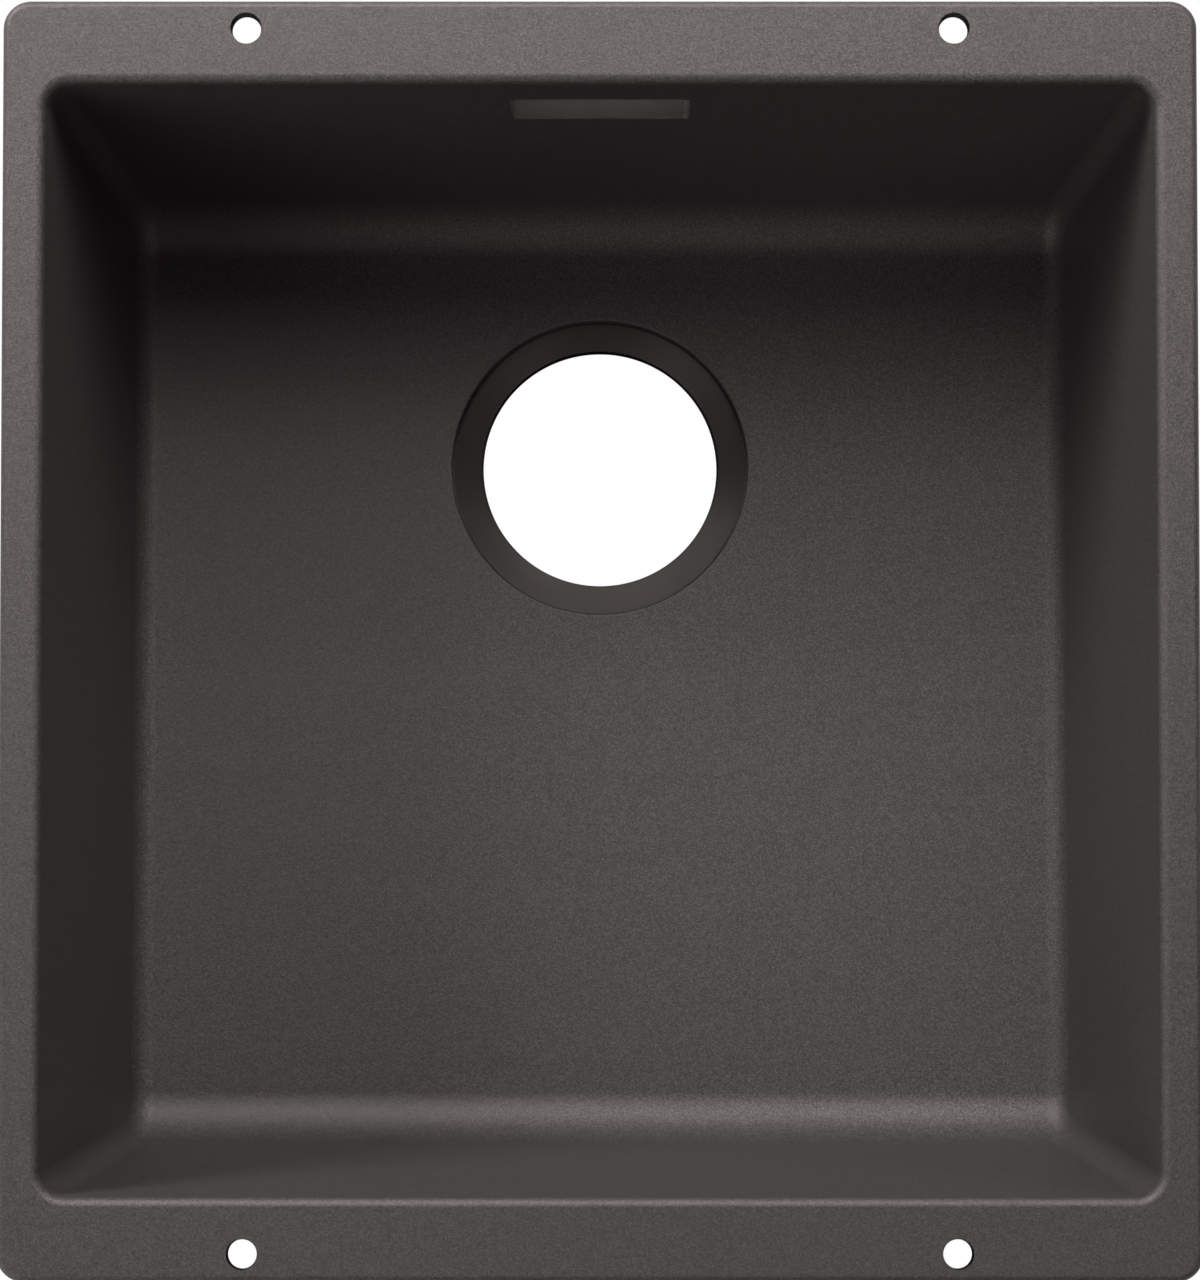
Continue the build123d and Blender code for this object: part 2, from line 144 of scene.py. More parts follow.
class FittingSizes(bpy.types.PropertyGroup):
    flange_width: size("Flange width", "Overflow box's flange and its gasket, left to right", 98)
    flange_height: size("Flange height", "Overflow box's flange and its gasket, top to bottom", 40)
    flange_corner: size("Flange corner", "Corners of the flange", 6)
    flange: size("Flange", "Thickness of the flange", 3)
    gasket: size("Gasket", "Thickness of the overflow gasket", 2)
    window_margin: size("Window margin", "Gasket and flange window beyond the slot", 1)
    box_width: size("Box width", "Overflow box, left to right", 72)
    box_depth: size("Box depth", "Flange's face to the cover's seat", 17)
    box_wall: size("Box wall", "Thickness of the box's walls", 2)
    box_top: size("Box top", "Box's top below the flange's top edge", 2)
    box_drop: size("Box drop", "Start of the funnel below the flange", 4)
    box_corner: size("Box corner", "Upper corners of the box", 4)
    funnel: size("Funnel", "Height of the box's funnel", 9)
    cover: size("Cover", "Thickness of the box's rear cover", 2)
    cover_lip: size("Cover lip", "Depth of the cover's locating lip", 2)
    cover_clearance: size("Cover clearance", "Room between the cover's lip and the box", 0.15)
    rib: size("Rib", "Thickness of the ribs on the flange's ears", 1.6)
    screw_radius: size("Screw radius", "Flange screw", 2)
    screw_bite: size("Screw bite", "Thread inside the insert", 5)
    screw_hole: size("Screw hole", "Clearance hole for a flange screw", 2.3)
    head_radius: size("Head radius", "Flange screw's head", 3.7)
    head_height: size("Head height", "Flange screw's head", 2.8)
    socket_flats: size("Socket flats", "Hexagon socket across its flats", 2.5)
    socket_depth: size("Socket depth", "Hexagon socket", 1.5)
    washer_radius: size("Washer radius", "Flange washer", 4.3)
    washer: size("Washer", "Thickness of a flange washer", 0.8)
    insert_radius: size("Insert radius", "Threaded insert", 3)
    neck_radius: size("Neck radius", "Outlet neck under the funnel", 10.2)
    neck_bore: size("Neck bore", "Water way in the neck", 7.5)
    neck_length: size("Neck length", "Outlet neck", 21)
    seal: size("Seal", "Thickness of the outlet seal", 2)
    collar: size("Collar", "Thickness of the hose tail's collar", 3)
    tail_radius: size("Tail radius", "Hose tail over its barbs", 9)
    tail_bore: size("Tail bore", "Water way in the hose tail", 7.4)
    tail_length: size("Tail length", "Hose tail below its collar", 26)
    throat: size("Throat", "Hose tail's radius in the nut's lip", 8.6)
    barb: size("Barb", "Height of a barb on the hose tail", 0.65)
    nut_radius: size("Nut radius", "Union nut between its ribs", 12.2)
    nut_bore: size("Nut bore", "Thread room in the union nut", 10.35)
    nut_hole: size("Nut hole", "Hole in the union nut's lip", 9.15)
    nut_lip: size("Nut lip", "Thickness of the union nut's lip", 2)
    nut_grip: size("Nut grip", "Union nut's reach over the neck", 12)
    nut_rib: size("Nut rib", "Height of a grip rib", 0.6)
    nut_rib_width: size("Nut rib width", "Width of a grip rib", 1.4)


# --- Modelling by hand, in code ---


def select_only(piece):
    bpy.ops.object.select_all(action="DESELECT")
    bpy.context.view_layer.objects.active = piece
    piece.select_set(True)


@contextmanager
def edit_mode(piece, element, start="DESELECT"):
    """Edit mode on one piece by VERT, EDGE or FACE, with nothing selected at the start, or all for SELECT."""
    select_only(piece)
    bpy.ops.object.mode_set(mode="EDIT")
    bpy.ops.mesh.select_mode(type=element)
    bpy.ops.mesh.select_all(action=start)
    yield
    bpy.ops.object.mode_set(mode="OBJECT")


def pick(element, wanted):
    """Select the edit mesh's vertices, edges or faces for which wanted() is true."""
    mesh = bpy.context.edit_object.data
    cage = bmesh.from_edit_mesh(mesh)
    chosen = {"VERT": cage.verts, "EDGE": cage.edges, "FACE": cage.faces}[element]
    found = [item for item in chosen if wanted(item)]
    if not found:
        raise RuntimeError(f"nothing to select on {bpy.context.edit_object.name}")
    for item in found:
        item.select_set(True)
    cage.select_flush_mode()
    bmesh.update_edit_mesh(mesh)


def middle(edge):
    return (edge.verts[0].co + edge.verts[1].co) / 2


def add_block(name, low, high):
    """A block between two corners, with its place in its mesh."""
    low, high = Vector(low), Vector(high)
    bpy.ops.object.select_all(action="DESELECT")
    bpy.ops.mesh.primitive_cube_add(size=1, location=(low + high) / 2, scale=high - low)
    block = bpy.context.active_object
    block.name = name
    bpy.ops.object.transform_apply(location=True, rotation=True, scale=True)
    return block


def add_outline(name, points, fill="NOTHING"):
    """A closed line through the points, or a flat face with NGON."""
    bpy.ops.object.select_all(action="DESELECT")
    bpy.ops.mesh.primitive_circle_add(vertices=len(points), radius=MM, fill_type=fill)
    piece = bpy.context.active_object
    piece.name = name
    for vertex, point in zip(piece.data.vertices, points):
        vertex.co = point
    return piece


def prism(name, points, along):
    """A flat outline of points, drawn out by a vector into a solid."""
    piece = add_outline(name, points, "NGON")
    with edit_mode(piece, "FACE", "SELECT"):
        bpy.ops.mesh.extrude_region_move(TRANSFORM_OT_translate={"value": along})
        bpy.ops.mesh.select_all(action="SELECT")
        bpy.ops.mesh.normals_make_consistent(inside=False)
    return piece


def turned(name, outline, centre, axis=UP, steps=96):
    """A round piece, spun from a closed outline of (radius, height) points."""
    centre = Vector(centre)
    across = Vector((1, 0, 0))
    piece = add_outline(name, [centre + across * radius + axis * height for radius, height in outline])
    with edit_mode(piece, "VERT", "SELECT"):
        bpy.ops.mesh.spin(steps=steps, angle=FULL_TURN, center=centre, axis=axis)
        bpy.ops.mesh.select_all(action="SELECT")
        bpy.ops.mesh.remove_doubles(threshold=1e-7)
        bpy.ops.mesh.normals_make_consistent(inside=False)
        bpy.ops.mesh.delete_loose(use_faces=False)
    return piece


def rod(radius, low, high):
    """The outline of a plain rod, for turned()."""
    return [(0, low), (radius, low), (radius, high), (0, high)]


def combine(piece, tool, operation):
    """Join a tool to a piece, or cut it out of the piece."""
    modifier = piece.modifiers.new("Combine", "BOOLEAN")
    modifier.operation = operation
    modifier.solver = "EXACT"
    modifier.object = tool
    select_only(piece)
    bpy.ops.object.modifier_apply(modifier=modifier.name)
    bpy.data.objects.remove(tool, do_unlink=True)
    with edit_mode(piece, "VERT", "SELECT"):
        bpy.ops.mesh.remove_doubles(threshold=2e-6)
        bpy.ops.mesh.dissolve_degenerate(threshold=1e-6)


def round_edges(piece, wanted, radius, segments):
    """Round the wanted edges to one radius, whatever the angle between their faces."""
    mesh = piece.data
    cage = bmesh.new()
    cage.from_mesh(mesh)
    weights = cage.edges.layers.float.new("bevel_weight_edge")
    reach = {}
    for edge in cage.edges:
        if len(edge.link_faces) == 2 and wanted(edge):
            reach[edge] = radius * math.tan(edge.calc_face_angle() / 2)
    if not reach:
        raise RuntimeError(f"no edge to round on {piece.name}")
    widest = max(reach.values())
    for edge, offset in reach.items():
        edge[weights] = offset / widest
    cage.to_mesh(mesh)
    cage.free()
    modifier = piece.modifiers.new("Round", "BEVEL")
    modifier.limit_method = "WEIGHT"
    modifier.offset_type = "OFFSET"
    modifier.width = widest
    modifier.segments = segments
    modifier.use_clamp_overlap = False
    select_only(piece)
    bpy.ops.object.modifier_apply(modifier=modifier.name)
    mesh.attributes.remove(mesh.attributes["bevel_weight_edge"])


def dress(piece, material, slot, node):
    """Give a piece its one material and finish it."""
    piece.data.materials.append(material)
    finish_piece(piece, slot, node)


def finish_piece(piece, slot, *nodes):
    """Smooth shading with crisp flats, then its body and the nodes it stands for. slot is not used."""
    select_only(piece)
    bpy.ops.object.shade_smooth_by_angle(angle=SMOOTH_ANGLE)
    modifier = piece.modifiers.new("Flat faces lead", "WEIGHTED_NORMAL")
    modifier.keep_sharp = True
    bpy.ops.object.modifier_apply(modifier=modifier.name)
    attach(piece, "root")
    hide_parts(*nodes)


# --- The basin ---


def slot_middle(sizes):
    """Height of the overflow slot's middle."""
    return SINK_SIZE.z - sizes.slot_drop - sizes.slot_height / 2


def drain_centre(sizes):
    return Vector((0, sizes.bowl_length / 2 - sizes.drain_setback, 0))


def drafted_block(name, half_x, half_y, bottom, top, slope):
    """A block whose four sides lean in on their way down."""
    block = add_block(name, (-half_x, -half_y, bottom), (half_x, half_y, top))
    inset = (top - bottom) * slope
    with edit_mode(block, "FACE"):
        pick("FACE", lambda face: face.normal.z < -0.9)
        bpy.ops.transform.resize(value=(1 - inset / half_x, 1 - inset / half_y, 1))
    return block


def runs_back(edge):
    """True for an edge that runs front to back."""
    return abs(edge.verts[0].co.y - edge.verts[1].co.y) > 0.9 * edge.calc_length()


def is_sharp(edge):
    return edge.calc_face_angle() > 0.5


def upright(edge):
    """True for an edge that rises more than it runs."""
    low, high = sorted((vertex.co.z for vertex in edge.verts))
    return high - low > 0.5 * edge.calc_length()


def make_shell(sizes):
    """The outside of the bowl with its rim, before it is hollowed out."""
    slope = math.tan(sizes.wall_draft)
    rim_top = SINK_SIZE.z
    rim_foot = rim_top - sizes.rim
    inside_rim = rim_foot + sizes.rim / 2
    outset = sizes.wall / math.cos(sizes.wall_draft) - (rim_top - inside_rim) * slope
    half_x = sizes.bowl_width / 2 + outset
    half_y = sizes.bowl_length / 2 + outset
    outer_round = sizes.corner_round + sizes.wall
    shell = drafted_block("Basin_moulding", half_x, half_y, 0, inside_rim, slope)
    round_edges(shell, lambda edge: middle(edge).z < inside_rim - MM, outer_round, segments=10)

    strip = sizes.gusset - sizes.rim / 2 * slope
    under = drafted_block(
        "Gusset", half_x + strip, half_y + strip, rim_foot - sizes.gusset - MM, rim_foot, 1 + slope
    )
    round_edges(under, upright, outer_round + sizes.gusset / 2, segments=10)
    raise_top(under, sizes.rim / 4)

    rim = add_block(
        "Rim", (-SINK_SIZE.x / 2, -SINK_SIZE.y / 2, rim_foot), (SINK_SIZE.x / 2, SINK_SIZE.y / 2, rim_top)
    )
    round_edges(rim, upright, sizes.rim_corner, segments=16)
    round_edges(rim, lambda edge: middle(edge).z > rim_top - ON_FACE, sizes.rim_round, segments=6)
    round_edges(rim, lambda edge: middle(edge).z < rim_foot + ON_FACE, sizes.rim_foot, segments=2)

    combine(shell, under, "UNION")
    combine(shell, rim, "UNION")
    combine(shell, make_pad(sizes), "UNION")
    return shell


def raise_top(block, height):
    """Draw a block's top face straight up."""
    top = max(vertex.co.z for vertex in block.data.vertices)
    with edit_mode(block, "FACE"):
        pick("FACE", lambda face: face.normal.z > 0.9 and face.calc_center_median().z > top - ON_FACE)
        bpy.ops.mesh.extrude_region_move(TRANSFORM_OT_translate={"value": (0, 0, height)})


def make_pad(sizes):
    """The flat land behind the overflow slot, with a sloped foot."""
    slot_z = slot_middle(sizes)
    root_y = sizes.bowl_length / 2
    face_y = root_y + sizes.pad_standoff
    half_x, half_z = sizes.pad_width / 2, sizes.pad_height / 2
    foot_z = slot_z - half_z
    pad = add_block("Pad", (-half_x, root_y - MM, foot_z), (half_x, face_y, slot_z + half_z))
    round_edges(pad, runs_back, sizes.pad_corner, segments=6)
    skirt_half = half_x - sizes.pad_corner
    skirt = add_block(
        "Skirt", (-skirt_half, root_y, foot_z - sizes.pad_standoff),
        (skirt_half, face_y, foot_z + sizes.pad_corner),
    )
    with edit_mode(skirt, "VERT"):
        pick("VERT", lambda vertex: vertex.co.y > face_y - ON_FACE)
        bpy.ops.transform.resize(value=(1, 1, 0), center_override=(0, face_y, foot_z + MM / 20))
        bpy.ops.mesh.remove_doubles(threshold=1e-6)
    combine(pad, skirt, "UNION")
    return pad


def make_cavity(sizes):
    """The room inside the bowl, to be cut out of the shell."""
    slope = math.tan(sizes.wall_draft)
    floor_z = sizes.lip + sizes.recess_depth
    half_x, half_y = sizes.bowl_width / 2, sizes.bowl_length / 2
    fall_y = half_y - sizes.drain_setback - sizes.recess_radius - sizes.fall_start
    cavity = drafted_block("Cavity", half_x, half_y, floor_z, SINK_SIZE.z, slope)
    with edit_mode(cavity, "FACE", "SELECT"):
        bpy.ops.mesh.bisect(plane_co=(0, fall_y, 0), plane_no=(0, 1, 0))
    foot_y = half_y - sizes.bowl_depth * slope
    rise = (foot_y + fall_y) * math.tan(sizes.floor_fall)
    with edit_mode(cavity, "EDGE"):
        pick("EDGE", lambda edge: middle(edge).z < floor_z + MM and middle(edge).y < MM - foot_y)
        bpy.ops.transform.translate(value=(0, -rise * slope, rise))
        bpy.ops.transform.resize(value=(1 + rise * slope / (half_x - sizes.bowl_depth * slope), 1, 1))

    def across(edge, place_y):
        return (
            middle(edge).z < floor_z + 2 * rise
            and abs(edge.verts[0].co.x - edge.verts[1].co.x) > half_x
            and abs(abs(middle(edge).y) - place_y) < 2 * MM
        )

    def is_bend(edge):
        return across(edge, abs(fall_y)) and edge.calc_face_angle() > 1e-3

    bend_radius = sizes.fall_bend / math.tan(sizes.floor_fall / 2)
    round_edges(cavity, lambda edge: across(edge, foot_y), sizes.floor_round, segments=14)
    round_edges(cavity, is_bend, bend_radius, segments=4)
    round_edges(cavity, is_side_seam, sizes.corner_round, segments=10)
    raise_top(cavity, OVERRUN)
    return cavity


def is_side_seam(edge):
    """True for the edges round a side wall of the cavity, below the mouth."""
    sides = [face for face in edge.link_faces if abs(face.normal.x) > 0.9]
    return len(sides) == 1 and middle(edge).z < SINK_SIZE.z - ON_FACE


def make_drain_cutter(sizes):
    """The drain hole and the recess for the strainer, with softly rounded edges."""
    seat_z = sizes.lip
    floor_z = seat_z + sizes.recess_depth
    hole, recess = sizes.drain_radius, sizes.recess_radius
    outline = [(0, -OVERRUN), (hole, -OVERRUN), (hole, 0)]
    outline += quarter_out(hole + sizes.lip_taper, seat_z, sizes.lip_edge)
    groove = sizes.seat_groove
    outline += [(recess - groove, seat_z), (recess - groove, seat_z - groove), (recess, seat_z - groove)]
    outline += quarter_out(recess, floor_z, sizes.recess_edge)
    outline += [(recess + sizes.recess_edge, floor_z + OVERRUN), (0, floor_z + OVERRUN)]
    return turned("Drain cutter", outline, drain_centre(sizes), steps=180)


def quarter_out(radius, height, round_radius, steps=4):
    """Outline points that flare out to a face at this height, leaving a rounded edge."""
    points = []
    for step in range(steps + 1):
        turn = math.pi / 2 * step / steps
        points.append((
            radius + round_radius * (1 - math.cos(turn)),
            height - round_radius * (1 - math.sin(turn)),
        ))
    return points


def make_basin(sizes):
    rim_top = SINK_SIZE.z
    basin = make_shell(sizes)
    combine(basin, make_cavity(sizes), "DIFFERENCE")
    reach_x, reach_y = sizes.bowl_width / 2 + MM, sizes.bowl_length / 2 + MM
    round_edges(
        basin,
        lambda edge: abs(middle(edge).z - rim_top) < MM / 100
        and abs(middle(edge).x) < reach_x and abs(middle(edge).y) < reach_y
        and is_sharp(edge),
        sizes.mouth_round, segments=6,
    )
    cut_slot(basin, sizes)
    combine(basin, make_drain_cutter(sizes), "DIFFERENCE")
    cut_fixing_holes(basin, sizes)
    cut_insert_holes(basin, sizes)
    return basin


def cut_slot(basin, sizes):
    """The overflow slot, with the edge in the bowl's wall rounded."""
    slope = math.tan(sizes.wall_draft)
    slot_z = slot_middle(sizes)
    half_x, half_z = sizes.slot_width / 2, sizes.slot_height / 2
    inside_y, behind_y = 0.15, 0.25  # metres, well on each side of the back wall
    cutter = add_block(
        "Slot cutter", (-half_x, inside_y, slot_z - half_z), (half_x, behind_y, slot_z + half_z)
    )
    round_edges(cutter, runs_back, sizes.slot_corner, segments=5)
    combine(basin, cutter, "DIFFERENCE")

    def is_mouth(edge):
        place = middle(edge)
        wall_y = sizes.bowl_length / 2 - (SINK_SIZE.z - place.z) * slope
        return (
            abs(place.y - wall_y) < SAME_PLACE
            and abs(place.x) < half_x + SAME_PLACE
            and abs(place.z - slot_z) < half_z + SAME_PLACE
            and is_sharp(edge)
        )

    round_edges(basin, is_mouth, sizes.slot_edge, segments=3)


def cut_fixing_holes(basin, sizes):
    """Four through holes in the rim, each with a lead-in at the top."""
    rim_top = SINK_SIZE.z
    below, above = rim_top - sizes.rim - OVERRUN, rim_top + OVERRUN
    outline = [
        (0, below), (sizes.fixing_radius, below), (sizes.fixing_radius, rim_top - sizes.fixing_lead),
        (sizes.fixing_mouth, rim_top), (sizes.fixing_mouth, above), (0, above),
    ]
    half_x, half_y = sizes.fixing_spacing / 2, SINK_SIZE.y / 2 - sizes.fixing_edge
    for x in (-half_x, half_x):
        for y in (-half_y, half_y):
            combine(basin, turned("Fixing cutter", outline, (x, y, 0), steps=64), "DIFFERENCE")


def cut_insert_holes(basin, sizes):
    face_y = sizes.bowl_length / 2 + sizes.pad_standoff
    slot_z = slot_middle(sizes)
    outline = rod(sizes.insert_bore, -sizes.insert_depth, 5 * MM)
    for x in (-sizes.insert_spacing / 2, sizes.insert_spacing / 2):
        cutter = turned("Insert cutter", outline, (x, face_y, slot_z), BACKWARD, steps=40)
        combine(basin, cutter, "DIFFERENCE")


# --- The overflow fittings behind the back wall ---


class Places:
    """Heights and depths of the overflow fittings, worked out from the sizes."""

    def __init__(self, basin, fitting):
        self.slot_z = slot_middle(basin)
        self.pad_y = basin.bowl_length / 2 + basin.pad_standoff
        self.flange_y = self.pad_y + fitting.gasket
        self.flange_back = self.flange_y + fitting.flange
        self.cover_y = self.flange_y + fitting.box_depth
        self.box_top = self.slot_z + fitting.flange_height / 2 - fitting.box_top
        self.neck_top = self.slot_z - fitting.flange_height / 2 - fitting.box_drop
        self.funnel_top = self.neck_top + fitting.funnel
        self.outlet_y = self.flange_y + fitting.box_depth / 2
        self.neck_end = self.neck_top - fitting.neck_length
        self.collar_top = self.neck_end - fitting.seal
        self.collar_foot = self.collar_top - fitting.collar
        self.window_x = basin.slot_width / 2 + fitting.window_margin
        self.window_z = basin.slot_height / 2 + fitting.window_margin
        self.window_corner = basin.slot_corner + fitting.window_margin
        self.screws = (-basin.insert_spacing / 2, basin.insert_spacing / 2)


def rounded_plate(name, half_x, half_z, centre_z, start_y, thickness, corner, edge=0.0):
    """An upright plate with rounded corners, and softened edges where an edge round is given."""
    plate = add_block(
        name, (-half_x, start_y, centre_z - half_z), (half_x, start_y + thickness, centre_z + half_z)
    )
    round_edges(plate, runs_back, corner, segments=8)
    if edge:
        round_edges(plate, lambda item: not runs_back(item) and item.calc_face_angle() > 1, edge, segments=3)
    return plate


def is_slanted_corner(edge):
    """True for the corners beside the funnel, which turn by less than a right angle."""
    return runs_back(edge) and 0.3 < edge.calc_face_angle() < 1.5


def pierce(piece, at, start_y, length, radius):
    """Cut a round hole towards the back at (x, z)."""
    drill = turned("Drill", rod(radius, -MM, length + MM), (at[0], start_y, at[1]), BACKWARD, steps=48)
    combine(piece, drill, "DIFFERENCE")


def cut_window(piece, places, start_y, end_y):
    window = rounded_plate(
        "Window", places.window_x, places.window_z, places.slot_z,
        start_y, end_y - start_y, places.window_corner,
    )
    combine(piece, window, "DIFFERENCE")


def make_gasket(places, fitting):
    gasket = rounded_plate(
        "Gasket_sheet", fitting.flange_width / 2, fitting.flange_height / 2, places.slot_z,
        places.pad_y, fitting.gasket, fitting.flange_corner, 0.3 * MM,
    )
    cut_window(gasket, places, places.pad_y - MM, places.flange_y + MM)
    for x in places.screws:
        pierce(gasket, (x, places.slot_z), places.pad_y, fitting.gasket, fitting.screw_hole)
    return gasket


def box_points(places, fitting, start_y, inset=0.0):
    """The box seen from behind, from its upper left corner: upright sides, then a funnel to the neck."""
    half = fitting.box_width / 2 - inset
    run = fitting.box_width / 2 - fitting.neck_radius
    slant = math.hypot(run, fitting.funnel)
    neck_half = fitting.neck_radius - inset * (slant - run) / fitting.funnel
    top, foot = places.box_top - inset, places.neck_top + inset
    shoulder = places.funnel_top + inset * (slant - fitting.funnel) / run
    left = [(-half, top), (-half, shoulder), (-neck_half, foot)]
    right = [(-x, z) for x, z in reversed(left)]
    return [(x, start_y, z) for x, z in left + right]


def box_body(name, places, fitting, start_y, depth, inset=0.0):
    """A solid of the box's outline, with its upper corners rounded."""
    body = prism(name, box_points(places, fitting, start_y, inset), (0, depth, 0))
    top, corner = places.box_top - inset, fitting.box_corner - inset
    round_edges(body, lambda edge: runs_back(edge) and middle(edge).z > top - MM, corner, segments=8)
    return body


def make_overflow_box(places, fitting):
    seam = 0.1 * MM
    box = box_body("Box_moulding", places, fitting, places.flange_y + seam, fitting.box_depth - seam)
    round_edges(box, is_slanted_corner, 3 * MM, segments=5)
    flange = rounded_plate(
        "Flange", fitting.flange_width / 2, fitting.flange_height / 2, places.slot_z,
        places.flange_y, fitting.flange, fitting.flange_corner, 0.5 * MM,
    )
    combine(box, flange, "UNION")
    for rib in ear_ribs(places, fitting):
        combine(box, rib, "UNION")
    combine(box, make_neck(places, fitting), "UNION")
    wall = fitting.box_wall
    room = box_body("Room", places, fitting, places.flange_y + wall, fitting.box_depth, wall)
    combine(box, room, "DIFFERENCE")
    cut_window(box, places, places.flange_y - MM, places.flange_back)
    for x in places.screws:
        pierce(box, (x, places.slot_z), places.flange_y, fitting.flange, fitting.screw_hole)
    bore = rod(fitting.neck_bore, -MM, fitting.neck_length + wall + MM)
    combine(box, turned("Bore", bore, (0, places.outlet_y, places.neck_end), steps=72), "DIFFERENCE")
    pitch = 2 * MM
    foot = (0, places.outlet_y, places.neck_end - pitch)
    cut_thread(box, foot, UP, fitting.neck_radius, depth=0.7 * MM, pitch=pitch, turns=9)
    return box


def ear_ribs(places, fitting):
    """Four three-cornered ribs between the box's sides and the flange's ears, above and below the screws."""
    short_of_end, short_of_cover = 2 * MM, 6 * MM
    side = fitting.box_width / 2 - fitting.box_wall / 2
    reach = fitting.flange_width / 2 - short_of_end
    back = places.flange_back - MM / 2
    rise = places.cover_y - short_of_cover
    from_middle = 13.5 * MM
    ribs = []
    for sign in (-1, 1):
        for drop in (-from_middle, from_middle):
            foot = places.slot_z + drop - fitting.rib / 2
            corners = ((sign * side, back, foot), (sign * reach, back, foot), (sign * side, rise, foot))
            ribs.append(prism("Rib", corners, (0, 0, fitting.rib)))
    return ribs


def make_neck(places, fitting):
    """The outlet neck before its thread is cut, with a shoulder under the funnel."""
    radius, length = fitting.neck_radius, fitting.neck_length
    outline = [
        (0, 0), (radius - 0.6 * MM, 0), (radius, 0.6 * MM), (radius, length - 0.8 * MM),
        (radius - 2 * MM, length + 0.3 * MM), (radius - 2 * MM, length + 1.2 * MM), (0, length + 1.2 * MM),
    ]
    return turned("Neck", outline, (0, places.outlet_y, places.neck_end), steps=72)


def cut_thread(piece, start, axis, radius, depth, pitch, turns):
    """Cut a helical groove into a cylinder, from a start point along its axis."""
    past = 0.5 * MM
    outline = ((past, 0), (-depth, 0.32 * pitch), (-depth, 0.48 * pitch), (past, 0.8 * pitch))
    groove = add_outline("Thread", [Vector((radius + out, 0, 0)) + axis * height for out, height in outline])
    sweep = groove.modifiers.new("Sweep", "SCREW")
    sweep.axis = "Z" if axis == UP else "Y"
    sweep.angle = FULL_TURN
    sweep.screw_offset = pitch
    sweep.iterations = turns
    sweep.steps = sweep.render_steps = 48
    select_only(groove)
    bpy.ops.object.modifier_apply(modifier=sweep.name)
    with edit_mode(groove, "VERT", "SELECT"):
        bpy.ops.mesh.remove_doubles(threshold=1e-7)
        bpy.ops.mesh.fill_holes(sides=len(outline))
        bpy.ops.mesh.normals_make_consistent(inside=False)
        bpy.ops.transform.translate(value=start)
    combine(piece, groove, "DIFFERENCE")


def make_cover(places, fitting):
    """The box's rear lid, with a sunk panel and a lip that drops inside the box."""
    cover = box_body("Cover_moulding", places, fitting, places.cover_y, fitting.cover)
    round_edges(cover, is_slanted_corner, 3 * MM, segments=5)
    back = places.cover_y + fitting.cover
    round_edges(
        cover, lambda edge: not runs_back(edge) and middle(edge).y > back - ON_FACE, 0.5 * MM, segments=3
    )
    sunk, margin, lip_wall = 0.5 * MM, 6 * MM, 1.6 * MM
    panel = prism("Panel", box_points(places, fitting, back - sunk, margin), (0, MM, 0))
    round_edges(panel, runs_back, 2 * MM, segments=4)
    combine(cover, panel, "DIFFERENCE")
    gap = fitting.box_wall + fitting.cover_clearance
    lip_y = places.cover_y - fitting.cover_lip
    lip = box_body("Lip", places, fitting, lip_y, fitting.cover_lip + MM / 2, gap)
    hollow = box_body(
        "Lip hollow", places, fitting, lip_y - MM, fitting.cover_lip + 1.1 * MM, gap + lip_wall
    )
    combine(cover, lip, "UNION")
    combine(cover, hollow, "DIFFERENCE")
    return cover


def join_all(pieces, name):
    """One piece of several separate copies."""
    bpy.ops.object.select_all(action="DESELECT")
    for piece in pieces:
        piece.select_set(True)
    bpy.context.view_layer.objects.active = pieces[0]
    bpy.ops.object.join()
    pieces[0].name = name
    return pieces[0]


def copy_aside(piece, shift):
    """A copy with its own mesh, moved in its mesh."""
    copy = piece.copy()
    copy.data = piece.data.copy()
    bpy.context.scene.collection.objects.link(copy)
    with edit_mode(copy, "VERT", "SELECT"):
        bpy.ops.transform.translate(value=shift)
    return copy


def pair(first, places, name):
    """The same fastener at both ends of the flange. The first one is at the left screw."""
    second = copy_aside(first, (places.screws[1] - places.screws[0], 0, 0))
    return join_all([first, second], name)


def make_washers(places, fitting):
    edge = 0.15 * MM
    inner, outer, thick = fitting.screw_hole, fitting.washer_radius, fitting.washer
    outline = [
        (inner, 0), (outer - edge, 0), (outer, edge),
        (outer, thick - edge), (outer - edge, thick), (inner, thick),
    ]
    start = (places.screws[0], places.flange_back, places.slot_z)
    washer = turned("Washer", outline, start, BACKWARD, steps=64)
    return pair(washer, places, "Washer_pair")


def make_screws(places, fitting):
    """Cylinder-head screws with a hexagon socket and a thread."""
    seat = places.flange_back + fitting.washer
    tip = places.pad_y - fitting.screw_bite
    shank = seat - tip
    shaft, head = fitting.screw_radius, fitting.head_radius
    total = shank + fitting.head_height
    outline = [(0, 0), (shaft - 0.5 * MM, 0), (shaft, 0.5 * MM), (shaft, shank), (head - 0.1 * MM, shank)]
    outline += [(head, shank + 0.1 * MM), (head, total - 0.45 * MM), (head - 0.13 * MM, total - 0.13 * MM)]
    outline += [(head - 0.45 * MM, total), (0, total)]
    start = Vector((places.screws[0], tip, places.slot_z))
    screw = turned("Screw", outline, start, BACKWARD, steps=64)
    pitch = 0.7 * MM
    cut_thread(screw, start - pitch * BACKWARD, BACKWARD, shaft, depth=0.38 * MM, pitch=pitch, turns=10)
    corner, above = fitting.socket_flats / math.sqrt(3), tip + total + MM
    hexagon = []
    for side in range(6):
        turn = math.pi / 3 * side
        hexagon.append((start.x + corner * math.cos(turn), above, start.z + corner * math.sin(turn)))
    combine(screw, prism("Socket", hexagon, (0, -MM - fitting.socket_depth, 0)), "DIFFERENCE")
    return pair(screw, places, "Screw_pair")


